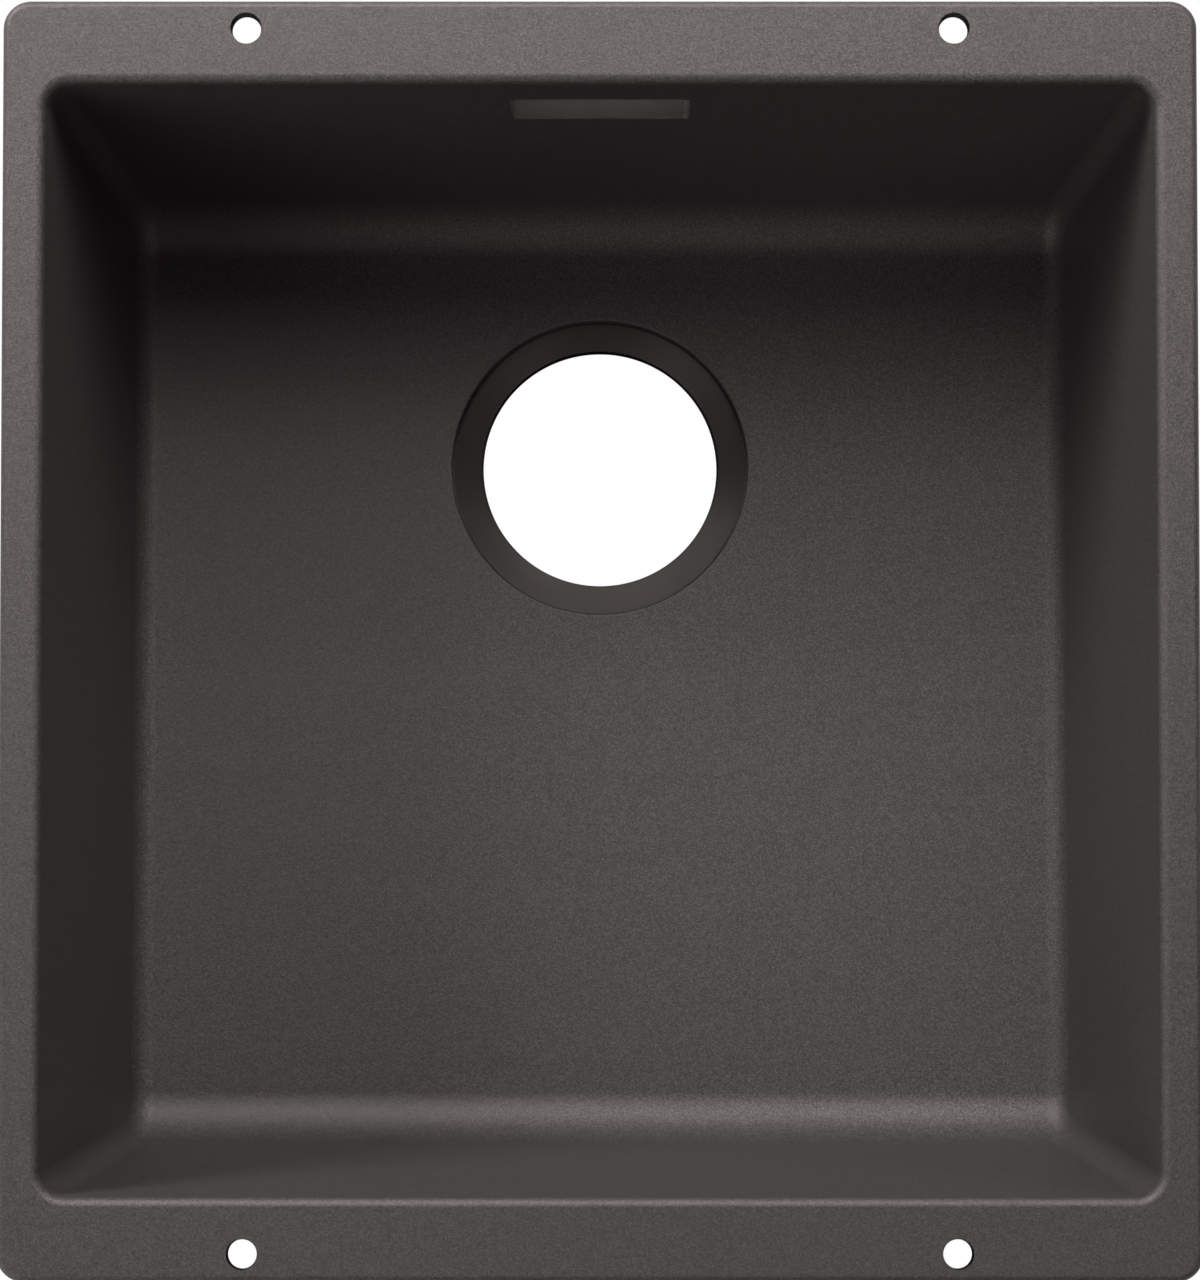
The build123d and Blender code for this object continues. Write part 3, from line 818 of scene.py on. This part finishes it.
def make_inserts(places, basin, fitting):
    """Brass sleeves with two holding grooves."""
    outer, bore, length = fitting.insert_radius, fitting.screw_radius + 0.05 * MM, basin.insert_depth
    groove = outer - 0.4 * MM
    outline = [
        (bore, 0), (outer - 0.3 * MM, 0), (outer, 0.3 * MM), (outer, 1.6 * MM), (groove, 1.8 * MM),
        (groove, 2.4 * MM), (outer, 2.6 * MM), (outer, 3.6 * MM), (groove, 3.8 * MM), (groove, 4.4 * MM),
        (outer, 4.6 * MM), (outer, length), (bore + 0.2 * MM, length), (bore, length - 0.2 * MM),
    ]
    start = (places.screws[0], places.pad_y - length, places.slot_z)
    return pair(turned("Insert", outline, start, BACKWARD, steps=48), places, "Insert_pair")


def make_outlet_seal(places, fitting):
    inner, outer, thick, edge = fitting.neck_bore, fitting.neck_radius, fitting.seal, 0.3 * MM
    outline = [
        (inner, edge), (inner + edge, 0), (outer - edge, 0), (outer, edge),
        (outer, thick - edge), (outer - edge, thick), (inner + edge, thick), (inner, thick - edge),
    ]
    return turned("Seal_ring", outline, (0, places.outlet_y, places.collar_top), steps=72)


def make_hose_tail(places, fitting):
    """Collared spigot with barbs that hold the hose."""
    crest, bore = fitting.tail_radius, fitting.tail_bore
    root = crest - fitting.barb
    length, free = fitting.tail_length, fitting.tail_length - fitting.nut_lip - MM
    outline = [(bore + 0.2 * MM, 0), (root - 0.2 * MM, 0), (root, 0.3 * MM)]
    pitch, barbs = 4 * MM, 4
    for barb in range(barbs):
        foot = MM + barb * pitch
        outline += [
            (root, foot), (crest, foot + 2.6 * MM), (crest, foot + 3 * MM),
            (crest - 0.2 * MM, foot + 3.3 * MM), (root, foot + 3.4 * MM),
        ]
    collar_radius, collar_end = fitting.neck_radius, length + fitting.collar
    outline += [(root, free - 2 * MM), (crest, free - 1.4 * MM), (crest, free), (fitting.throat, free)]
    outline += [
        (fitting.throat, length), (collar_radius - 0.2 * MM, length), (collar_radius, length + 0.2 * MM),
        (collar_radius, collar_end), (bore, collar_end), (bore, 0.2 * MM),
    ]
    return turned("Tail_moulding", outline, (0, places.outlet_y, places.collar_foot - length), steps=72)


def make_union_nut(places, fitting):
    """Ribbed nut whose inner lip carries the tail's collar. The ribs stop short of its soft ends."""
    lip = fitting.nut_lip
    length = lip + fitting.collar + fitting.seal + fitting.nut_grip
    outer, bore, hole = fitting.nut_radius, fitting.nut_bore, fitting.nut_hole
    soft, short = 0.7 * MM, 1.2 * MM
    outline = [
        (hole + 0.3 * MM, 0), (outer - soft, 0), (outer - 0.2 * MM, 0.2 * MM), (outer, soft),
        (outer, length - soft), (outer - 0.2 * MM, length - 0.2 * MM), (outer - soft, length),
        (bore + 0.4 * MM, length), (bore, length - 0.4 * MM), (bore, lip), (hole, lip), (hole, 0.3 * MM),
    ]
    foot = places.collar_foot - lip
    centre = (0, places.outlet_y, foot)
    nut = turned("Nut_moulding", outline, centre, steps=96)
    half, sunk = fitting.nut_rib_width / 2, outer - 0.8 * MM
    rib = add_block(
        "Rib", (-half, places.outlet_y + sunk, foot + short),
        (half, places.outlet_y + outer + fitting.nut_rib, foot + length - short),
    )
    outer_y = places.outlet_y + outer
    round_edges(rib, lambda edge: middle(edge).y > outer_y, 0.45 * MM, segments=3)
    ribs, rib_count = [rib], 12
    for turn in range(1, rib_count):
        copy = copy_aside(rib, (0, 0, 0))
        swing = FULL_TURN * turn / rib_count
        with edit_mode(copy, "VERT", "SELECT"):
            bpy.ops.transform.rotate(value=swing, orient_axis="Z", center_override=centre)
        ribs.append(copy)
    combine(nut, join_all(ribs, "Ribs"), "UNION")
    return nut


# --- Materials ---


class Socket:
    """One output of a node, with Python's arithmetic for values."""

    def __init__(self, shader, output):
        self.shader = shader
        self.output = output

    def _maths(self, operation, *terms):
        return self.shader.node("ShaderNodeMath", {"operation": operation}, dict(enumerate(terms)))

    def __add__(self, other):
        return self._maths("ADD", self, other)

    __radd__ = __add__

    def __sub__(self, other):
        return self._maths("SUBTRACT", self, other)

    def __rsub__(self, other):
        return self._maths("SUBTRACT", other, self)

    def __mul__(self, other):
        return self._maths("MULTIPLY", self, other)

    __rmul__ = __mul__

    def __truediv__(self, other):
        return self._maths("DIVIDE", self, other)

    def __pow__(self, other):
        return self._maths("POWER", self, other)

    def __abs__(self):
        return self._maths("ABSOLUTE", self)

    def sine(self):
        return self._maths("SINE", self)

    def at_least(self, other):
        return self._maths("MAXIMUM", self, other)


class Shader:
    """A procedural material, built node by node."""

    def __init__(self, owner):
        self.tree = owner.node_tree
        self.tree.nodes.clear()

    def node(self, kind, settings=None, inputs=None, output=0):
        """Add a node, set its settings first and then its sockets, and return one of its outputs."""
        made = self.tree.nodes.new(kind)
        for name, value in (settings or {}).items():
            if name == "stops":
                self.set_stops(made.color_ramp, value)
            else:
                setattr(made, name, value)
        for name, value in (inputs or {}).items():
            if isinstance(value, Socket):
                self.tree.links.new(value.output, made.inputs[name])
            else:
                made.inputs[name].default_value = value
        return None if output is None else Socket(self, made.outputs[output])

    def set_stops(self, ramp, stops):
        while len(ramp.elements) < len(stops):
            ramp.elements.new(0.5)
        for element, (position, value) in zip(ramp.elements, stops):
            element.position = position
            element.color = (value, value, value, 1)

    def place(self):
        return self.node("ShaderNodeTexCoord", output="Object")

    def moved(self, centre):
        """Object coordinates measured from a centre."""
        return self.node(
            "ShaderNodeMapping", {"vector_type": "POINT"},
            {"Vector": self.place(), "Location": tuple(-value for value in centre)},
        )

    def parts(self, vector):
        """A vector's three values."""
        split = self.node("ShaderNodeSeparateXYZ", {}, {0: vector})
        return [Socket(self, output) for output in split.output.node.outputs]

    def noise(self, place, grain, detail=2.0, roughness=0.5):
        """Noise between 0 and 1 whose blotches are about one grain wide."""
        return self.node(
            "ShaderNodeTexNoise", {"noise_dimensions": "3D"},
            {"Vector": place, "Scale": 1 / grain, "Detail": detail, "Roughness": roughness},
        )

    def grains(self, place, grain):
        """Many small cells: a random value in each, and the height of a randomly tilted face, in metres."""
        chance = self.node(
            "ShaderNodeTexVoronoi", {"feature": "F1"}, {"Vector": place, "Scale": 1 / grain}, "Color"
        )
        centre = Socket(self, chance.output.node.outputs["Position"])
        lean = self.vector("SUBTRACT", chance, (0.5, 0.5, 0.5))
        height = self.vector("DOT_PRODUCT", self.vector("SUBTRACT", place, centre), lean, "Value")
        return self.parts(chance)[0], height

    def vector(self, operation, first, second, output=0):
        return self.node("ShaderNodeVectorMath", {"operation": operation}, {0: first, 1: second}, output)

    def ramp(self, value, stops):
        return self.node("ShaderNodeValToRGB", {"stops": stops}, {"Fac": value}, "Color")

    def blend(self, factor, first, second):
        """A colour between two."""
        first, second = ((*value, 1) if isinstance(value, tuple) else value for value in (first, second))
        return self.node("ShaderNodeMix", {"data_type": "RGBA"}, {0: factor, 6: first, 7: second}, 2)

    def bump(self, height, distance, under=None):
        """Relief of a height in distances, on top of another relief where one is given."""
        inputs = {"Strength": 1.0, "Distance": distance, "Height": height}
        if under is not None:
            inputs["Normal"] = under
        return self.node("ShaderNodeBump", {}, inputs)

    def principled(self, **inputs):
        """The main surface shader. An input's blanks are written as underscores."""
        named = {name.replace("_", " "): value for name, value in inputs.items()}
        return self.node("ShaderNodeBsdfPrincipled", {}, named)

    def finish(self, surface, kind="ShaderNodeOutputMaterial"):
        self.node(kind, {}, {"Surface": surface}, output=None)


def new_material(name):
    material = bpy.data.materials.new(name)
    material.use_nodes = True
    return material, Shader(material)


def shade(value, factor):
    """A colour made lighter or darker."""
    return tuple(min(1.0, channel * factor) for channel in value)


def quartz_composite(finish):
    """Fine quartz grains in dark resin, silky matt."""
    material, shader = new_material("Quartz composite")
    place = shader.place()
    skin = shader.noise(place, 1.2 * finish.grain, 2.0, 0.6)
    speck, facet = shader.grains(place, finish.grain)
    height = shader.parts(place)[2]
    low = shader.ramp(height / SINK_SIZE.z, [(0.1, 1.0), (0.25, 0.0)])
    share = (1 + finish.floor_grain * low) / (1 + finish.floor_grain)
    palest = shade(finish.quartz, 1 + finish.floor_grain)
    tone = shader.blend(speck ** 1.5 * share, tuple(finish.composite), palest)
    relief = shader.bump(facet, 2 * math.tan(finish.facet), under=shader.bump(skin, finish.relief))
    shader.finish(shader.principled(
        Base_Color=tone, Roughness=finish.composite_roughness, IOR=finish.composite_ior,
        Specular_Tint=(*finish.composite_sheen, 1), Normal=relief,
    ))
    return material


def composite_back(finish):
    """The unseen side of the moulding: the same composite, a little paler and rougher."""
    material, shader = new_material("Composite, back of the moulding")
    place = shader.place()
    grain = shader.noise(place, 0.9 * MM, 3.0, 0.65)
    flow = shader.noise(place, 60 * MM, 3.0, 0.6)
    base = tuple(finish.composite)
    mottle = shader.ramp(grain * 0.6 + flow * 0.4, [(0.35, 0.0), (0.65, 1.0)])
    tone = shader.blend(mottle, shade(base, 1.1), shade(base, 2.4))
    relief = shader.bump(grain + 3.0 * flow, 0.06 * MM)
    shader.finish(shader.principled(
        Base_Color=tone, Roughness=0.1 * flow + (finish.composite_roughness + 0.05), IOR=finish.composite_ior,
        Specular_Tint=(*finish.composite_sheen, 1), Normal=relief,
    ))
    return material


def turned_seat(finish, centre):
    """Composite faced on a lathe: fine rings round the drain."""
    material, shader = new_material("Composite, turned seat")
    x, y = shader.parts(shader.moved(centre))[:2]
    radius = (x * x + y * y) ** 0.5
    tool_pitch = 0.35 * MM
    rings = (radius * (FULL_TURN / tool_pitch)).sine()
    grain = shader.noise(shader.place(), 0.5 * MM, 2.0, 0.6)
    base = tuple(finish.composite)
    tone = shader.blend(grain, shade(base, 1.2), shade(base, 2.6))
    shader.finish(shader.principled(
        Base_Color=tone, Roughness=0.4, IOR=finish.composite_ior,
        Specular_Tint=(*finish.seat_sheen, 1), Normal=shader.bump(rings + 0.3 * grain, 0.03 * MM),
    ))
    return material


def shaded_cut_edge(finish):
    """Composite where a drill or cutter has passed: smooth, with its colour darkened as painted shade on the
    hole walls.
    """
    material, shader = new_material("Composite, cut edge with painted shade")
    grain = shader.noise(shader.place(), 0.4 * MM, 2.0, 0.6)
    base = tuple(finish.composite)
    shader.finish(shader.principled(
        # Painted shade: a colour darker than the composite's, down to 0.4 of its resin.
        Base_Color=shader.blend(grain, shade(base, 0.4), base), Roughness=0.1 * grain + 0.22, IOR=1.5,
        Normal=shader.bump(grain, 0.01 * MM),
    ))
    return material


def moulded_plastic(name, base, roughness, texture, clear=0.0):
    """Polypropylene with a spark-eroded skin. clear is the share of light that it lets through."""
    material, shader = new_material(name)
    place = shader.place()
    pits = shader.noise(place, texture, 2.0, 0.7)
    cloud = shader.noise(place, 14 * MM, 2.0, 0.5)
    tone = shader.blend(cloud, shade(base, 0.85), shade(base, 1.25))
    shader.finish(shader.principled(
        Base_Color=tone, Roughness=0.12 * cloud + (roughness - 0.06), IOR=1.49, Transmission_Weight=clear,
        Normal=shader.bump(pits, 0.03 * MM),
    ))
    return material


def seal_rubber():
    """Matt black rubber with a faint bloom."""
    material, shader = new_material("Seal rubber")
    place = shader.place()
    bloom = shader.noise(place, 5 * MM, 4.0, 0.6)
    black, bloomed = (0.016, 0.016, 0.016), (0.034, 0.033, 0.031)
    tone = shader.blend(shader.ramp(bloom, [(0.45, 0.0), (0.75, 1.0)]), black, bloomed)
    shader.finish(shader.principled(
        Base_Color=tone, Roughness=0.1 * bloom + 0.72, IOR=1.52,
        Normal=shader.bump(shader.noise(place, 0.3 * MM), 0.015 * MM),
    ))
    return material


def turned_metal(name, base, roughness, places):
    """Metal with fine turning marks round the two screw axes."""
    material, shader = new_material(name)
    x, y, z = shader.parts(shader.moved((0, 0, places.slot_z)))
    off = abs(x) - places.screws[1]
    radius = (off * off + z * z) ** 0.5
    face_pitch, side_pitch = 0.22 * MM, 0.3 * MM
    rings = (radius * (FULL_TURN / face_pitch) + y * (FULL_TURN / side_pitch)).sine()
    stain = shader.noise(shader.place(), 2.5 * MM, 3.0, 0.6)
    tone = shader.blend(shader.ramp(stain, [(0.4, 0.0), (0.7, 1.0)]), base, shade(base, 0.82))
    shader.finish(shader.principled(
        Base_Color=tone, Metallic=1.0, Roughness=0.16 * stain + (roughness - 0.08),
        Normal=shader.bump(rings, 0.006 * MM),
    ))
    return material


class Finish(bpy.types.PropertyGroup):
    composite: colour("Composite", "Resin and darkest grains of the composite", (0.007, 0.0064, 0.0062))
    composite_sheen: colour("Composite sheen", "Tint of the composite's highlights", (1.0, 0.885, 0.88))
    seat_sheen: colour("Seat sheen", "Tint of the turned seat's highlights", (0.95, 0.84, 0.8))
    composite_roughness: amount("Composite roughness", "Softness of its highlights", 0.56, min=0, max=1)
    composite_ior: amount("Composite IOR", "Quartz grains in resin", 2.0, min=1, max=3)
    quartz: colour("Quartz", "Palest grains of the composite", (0.074, 0.069, 0.068))
    grain: size("Grain", "Width of a quartz grain", 0.38)
    relief: size("Relief", "Height of the moulded skin's grain", 0.03)
    facet: angle("Facet", "Greatest tilt of a quartz grain's face", 6)
    floor_grain: amount("Floor grain", "How much more the grains show on the floor", 0.45, min=0)
    box: colour("Box plastic", "Overflow box and its cover", (0.86, 0.86, 0.83))
    tail: colour("Tail plastic", "Hose tail and union nut", (0.045, 0.045, 0.048))
    brass: colour("Brass", "Threaded inserts", (0.72, 0.53, 0.25))
    steel: colour("Steel", "Screws and washers", (0.6, 0.6, 0.6))


# --- The pieces, each with its materials ---


def paint(piece, material, wanted):
    """Give a second material to the wanted faces."""
    piece.data.materials.append(material)
    with edit_mode(piece, "FACE"):
        pick("FACE", wanted)
        piece.active_material_index = len(piece.data.materials) - 1
        bpy.ops.object.material_slot_assign()


def is_back(face, sizes):
    """True for a face of the basin's outside, under the rim."""
    place = face.calc_center_median() + face.normal * (MM / 5)
    lean = (SINK_SIZE.z - place.z) * math.tan(sizes.wall_draft) - MM / 2
    inside = abs(place.x) < sizes.bowl_width / 2 - lean and abs(place.y) < sizes.bowl_length / 2 - lean
    return place.z < SINK_SIZE.z - sizes.rim and not (inside and place.z > 0)


def is_seat(face, sizes, centre):
    place = face.calc_center_median()
    off = math.hypot(place.x - centre.x, place.y - centre.y)
    return abs(place.z - sizes.lip) < SAME_PLACE and sizes.drain_radius < off < sizes.recess_radius


def is_cut(face, sizes, centre):
    """True for a face of the drain hole's wall or of a fixing hole's wall."""
    place = face.calc_center_median()
    from_drain = math.hypot(place.x - centre.x, place.y - centre.y)
    hole_edge = sizes.drain_radius + sizes.lip_taper + sizes.lip_edge
    from_fixing = math.hypot(
        abs(place.x) - sizes.fixing_spacing / 2, abs(place.y) - SINK_SIZE.y / 2 + sizes.fixing_edge
    )
    in_drain = from_drain < hole_edge and 0 < place.z < sizes.lip - SAME_PLACE
    return in_drain or (from_fixing < sizes.fixing_mouth + MM / 5 and abs(face.normal.z) < 0.9)


class SINK_OT_basin(bpy.types.Operator):
    """Model the basin and give it its quartz composite"""

    bl_idname = "sink.basin"
    bl_label = "Basin"

    def execute(self, context):
        sizes, finish = context.scene.sink_basin, context.scene.sink_finish
        centre = drain_centre(sizes)
        basin = make_basin(sizes)
        basin.data.materials.append(quartz_composite(finish))
        paint(basin, turned_seat(finish, centre), lambda face: is_seat(face, sizes, centre))
        paint(basin, composite_back(finish), lambda face: is_back(face, sizes))
        # The walls of the drain and fixing holes get the material with painted shade.
        paint(basin, shaded_cut_edge(finish), lambda face: is_cut(face, sizes, centre))
        finish_piece(basin, "composite", "basin")
        return {"FINISHED"}


class SINK_OT_overflow(bpy.types.Operator):
    """Model the overflow's gasket, box and cover behind the back wall"""

    bl_idname = "sink.overflow"
    bl_label = "Overflow box"

    def execute(self, context):
        fitting = context.scene.sink_fitting
        places = Places(context.scene.sink_basin, fitting)
        gasket = make_gasket(places, fitting)
        dress(gasket, seal_rubber(), "seal_rubber", "overflow_gasket")
        tone = tuple(context.scene.sink_finish.box)
        plastic = moulded_plastic("Milky box plastic", tone, 0.85, texture=0.45 * MM, clear=0.95)
        for piece, node in (
            (make_overflow_box(places, fitting), "overflow_box"),
            (make_cover(places, fitting), "overflow_box_cover"),
        ):
            dress(piece, plastic, "box_plastic", node)
        return {"FINISHED"}


class SINK_OT_fasteners(bpy.types.Operator):
    """Model the threaded inserts, washers and screws that hold the overflow box"""

    bl_idname = "sink.fasteners"
    bl_label = "Fasteners"

    def execute(self, context):
        basin, fitting = context.scene.sink_basin, context.scene.sink_fitting
        finish = context.scene.sink_finish
        places = Places(basin, fitting)
        brass = turned_metal("Brass", tuple(finish.brass), 0.35, places)
        steel = turned_metal("Stainless steel", tuple(finish.steel), 0.3, places)
        for piece, metal, slot, node in (
            (make_inserts(places, basin, fitting), brass, "insert_brass", "threaded_inserts"),
            (make_washers(places, fitting), steel, "fastener_steel", "flange_washers"),
            (make_screws(places, fitting), steel, "fastener_steel", "flange_screws"),
        ):
            dress(piece, metal, slot, node)
        return {"FINISHED"}


class SINK_OT_outlet(bpy.types.Operator):
    """Model the overflow's seal, hose tail and union nut"""

    bl_idname = "sink.outlet"
    bl_label = "Outlet"

    def execute(self, context):
        fitting = context.scene.sink_fitting
        places = Places(context.scene.sink_basin, fitting)
        tone = tuple(context.scene.sink_finish.tail)
        plastic = moulded_plastic("Tail plastic", tone, 0.42, texture=0.6 * MM)
        for piece, material, slot, node in (
            (make_outlet_seal(places, fitting), seal_rubber(), "seal_rubber", "outlet_seal"),
            (make_hose_tail(places, fitting), plastic, "tail_plastic", "hose_tail"),
            (make_union_nut(places, fitting), plastic, "tail_plastic", "union_nut"),
        ):
            dress(piece, material, slot, node)
        return {"FINISHED"}


# --- The stage ---


class StageSizes(bpy.types.PropertyGroup):
    eye_height: size("Eye height", "Camera above the rim's top", 2510.7)
    eye_forward: size("Eye forward", "Camera in front of the sink's middle", 181)
    aim_forward: size("Aim forward", "Where the camera looks, in front of the middle of the rim", 1)
    lens: amount("Lens", "Focal length in mm", 197.8)
    lamp_distance: size("Lamp distance", "Each lamp from the bowl's middle", 1300)
    lamp_width: size("Lamp width", "Diameter of a plain lamp", 360)
    floor_gap: size("Floor gap", "Floor below the bowl's base", 0.2)
    floor_white: amount("Floor white", "How far the floor's own white hides its shadows", 0.92, min=0, max=1)
    world: amount("World", "Strength of the even light", 0.0, min=0)


# Each lamp's name, its lean to the back and to the right in degrees, its power in watts
# and its width in plain lamps.
LAMPS = (
    ("Rear lamp", 30, 0, 2.65, 1.0),
    ("Rear wide lamp", 48, 3, 8.9, 2.4),
    ("Rear left lamp", 56, -50, 3.8, 1.0),
    ("Left lamp", 46, -50, 5.4, 1.0),
    ("Right lamp", 46, 50, 1.9, 1.0),
    ("Front lamp", -30, 25, 1.15, 2.0),
    ("Front left lamp", -50, -50, 4.1, 2.6),
)


def aim(thing, place, target):
    """Put a lamp or camera at a place and point it at a target."""
    thing.location = place
    thing.rotation_mode = "QUATERNION"
    thing.rotation_quaternion = (Vector(target) - Vector(place)).to_track_quat("-Z", "Y")


def add_lamp(stage, name, lean_back, lean_right, power, width):
    """A round soft lamp, aimed at the bowl and unseen by the camera."""
    lamp = bpy.data.lights.new(name, "AREA")
    lamp.shape = "DISK"
    lamp.size = stage.lamp_width * width
    lamp.energy = power
    made = bpy.data.objects.new(name, lamp)
    made.visible_camera = False
    bpy.context.scene.collection.objects.link(made)
    target = Vector((0, 0, SINK_SIZE.z / 2))
    lean = Vector((math.tan(math.radians(lean_right)), math.tan(math.radians(lean_back)), 1))
    aim(made, target + lean.normalized() * stage.lamp_distance, target)


def is_ray(shader, *kinds):
    """1 for rays of the named kinds and 0 for all others."""
    path = shader.node("ShaderNodeLightPath").output.node.outputs
    found = 0.0
    for kind in kinds:
        found = Socket(shader, path[f"Is {kind} Ray"]).at_least(found)
    return found


def white_floor(stage):
    """White with the object's shadow left in it, and clear from below.

    Under the object it is white to the eye, a painted glow over the object's shadow there, and dark to the
    light, a painted shade.
    """
    material, shader = new_material("White floor")
    half_x, half_y = 0.25, 0.27  # metres, a little beyond the rim
    white_paint, painted_shade_under = (0.9, 0.9, 0.9), (0.02, 0.02, 0.02)
    x, y = shader.parts(shader.place())[:2]
    away = abs(x / half_x).at_least(abs(y / half_y))
    # under is 1 beneath the object, where the floor gets painted light for the eye and painted shade for the
    # light.
    under = shader.ramp(away - 0.5, [(0.5, 1.0), (0.9, 0.0)])
    white = stage.floor_white
    # Painted light: full white to the eye under the object, over its shadow.
    direct = is_ray(shader, "Camera", "Transmission") * (white + (1 - white) * under)
    mirrored = is_ray(shader, "Glossy") * (1 - under) * white
    # Painted shade: the floor's own colour is nearly black under the object.
    tone = shader.blend(under, white_paint, painted_shade_under)
    matt = shader.node("ShaderNodeBsdfDiffuse", {}, {"Color": tone})
    glow = shader.node("ShaderNodeEmission", {}, {"Color": (1, 1, 1, 1), "Strength": 1.0})
    top = shader.node("ShaderNodeMixShader", {}, {0: direct + mirrored, 1: matt, 2: glow})
    clear = shader.node("ShaderNodeBsdfTransparent", {}, {"Color": (1, 1, 1, 1)})
    from_below = shader.node("ShaderNodeNewGeometry", output="Backfacing")
    shader.finish(shader.node("ShaderNodeMixShader", {}, {0: from_below, 1: top, 2: clear}))
    return material


def white_world(stage):
    """Even light of a given strength that the camera sees as white."""
    world = bpy.data.worlds.new("Studio")
    world.use_nodes = True
    shader = Shader(world)
    strength = is_ray(shader, "Camera", "Transmission") * (1 - stage.world) + stage.world
    light = shader.node("ShaderNodeBackground", {}, {"Color": (1, 1, 1, 1), "Strength": strength})
    shader.finish(light, "ShaderNodeOutputWorld")
    return world


class SINK_OT_stage(bpy.types.Operator):
    """Set the white floor, the soft lamps and the camera over the bowl"""

    bl_idname = "sink.stage"
    bl_label = "Stage"

    def execute(self, context):
        scene = context.scene
        stage = scene.sink_stage
        scene.view_settings.view_transform = "Standard"
        bpy.ops.object.select_all(action="DESELECT")
        bpy.ops.mesh.primitive_plane_add(size=12, location=(0, 0, -stage.floor_gap))
        floor = context.active_object
        floor.name = "Floor"
        floor.data.materials.append(white_floor(stage))
        scene.world = white_world(stage)
        for lamp in LAMPS:
            add_lamp(stage, *lamp)
        camera = bpy.data.objects.new("Camera", bpy.data.cameras.new("Camera"))
        scene.collection.objects.link(camera)
        camera.data.sensor_fit = "AUTO"
        camera.data.sensor_width = 36
        camera.data.lens = stage.lens
        eye = Vector((0, -stage.eye_forward, SINK_SIZE.z + stage.eye_height))
        aim(camera, eye, (0, -stage.aim_forward, SINK_SIZE.z))
        camera.data.clip_end = 20
        scene.camera = camera
        return {"FINISHED"}


# --- The panel and the way it all runs ---


class SINK_PT_panel(bpy.types.Panel):
    """Builds the sink's pieces and stage"""

    bl_label = "Undermount sink"
    bl_idname = "SINK_PT_panel"
    bl_space_type = "VIEW_3D"
    bl_region_type = "UI"
    bl_category = "Sink"

    def draw(self, context):
        for operator in OPERATORS:
            self.layout.operator(operator.bl_idname)


SETTINGS = {
    "sink_basin": BasinSizes, "sink_fitting": FittingSizes, "sink_finish": Finish, "sink_stage": StageSizes
}
OPERATORS = (SINK_OT_basin, SINK_OT_overflow, SINK_OT_fasteners, SINK_OT_outlet, SINK_OT_stage)


def register():
    for group in (*SETTINGS.values(), *OPERATORS, SINK_PT_panel):
        bpy.utils.register_class(group)
    for name, group in SETTINGS.items():
        setattr(bpy.types.Scene, name, bpy.props.PointerProperty(type=group))


def unregister():
    for name in SETTINGS:
        delattr(bpy.types.Scene, name)
    for group in (SINK_PT_panel, *reversed(OPERATORS), *reversed(SETTINGS.values())):
        bpy.utils.unregister_class(group)


def main():
    register()
    bpy.ops.sink.basin()
    bpy.ops.sink.overflow()
    bpy.ops.sink.fasteners()
    bpy.ops.sink.outlet()
    bpy.ops.sink.stage()


if __name__ == "__main__":
    main()
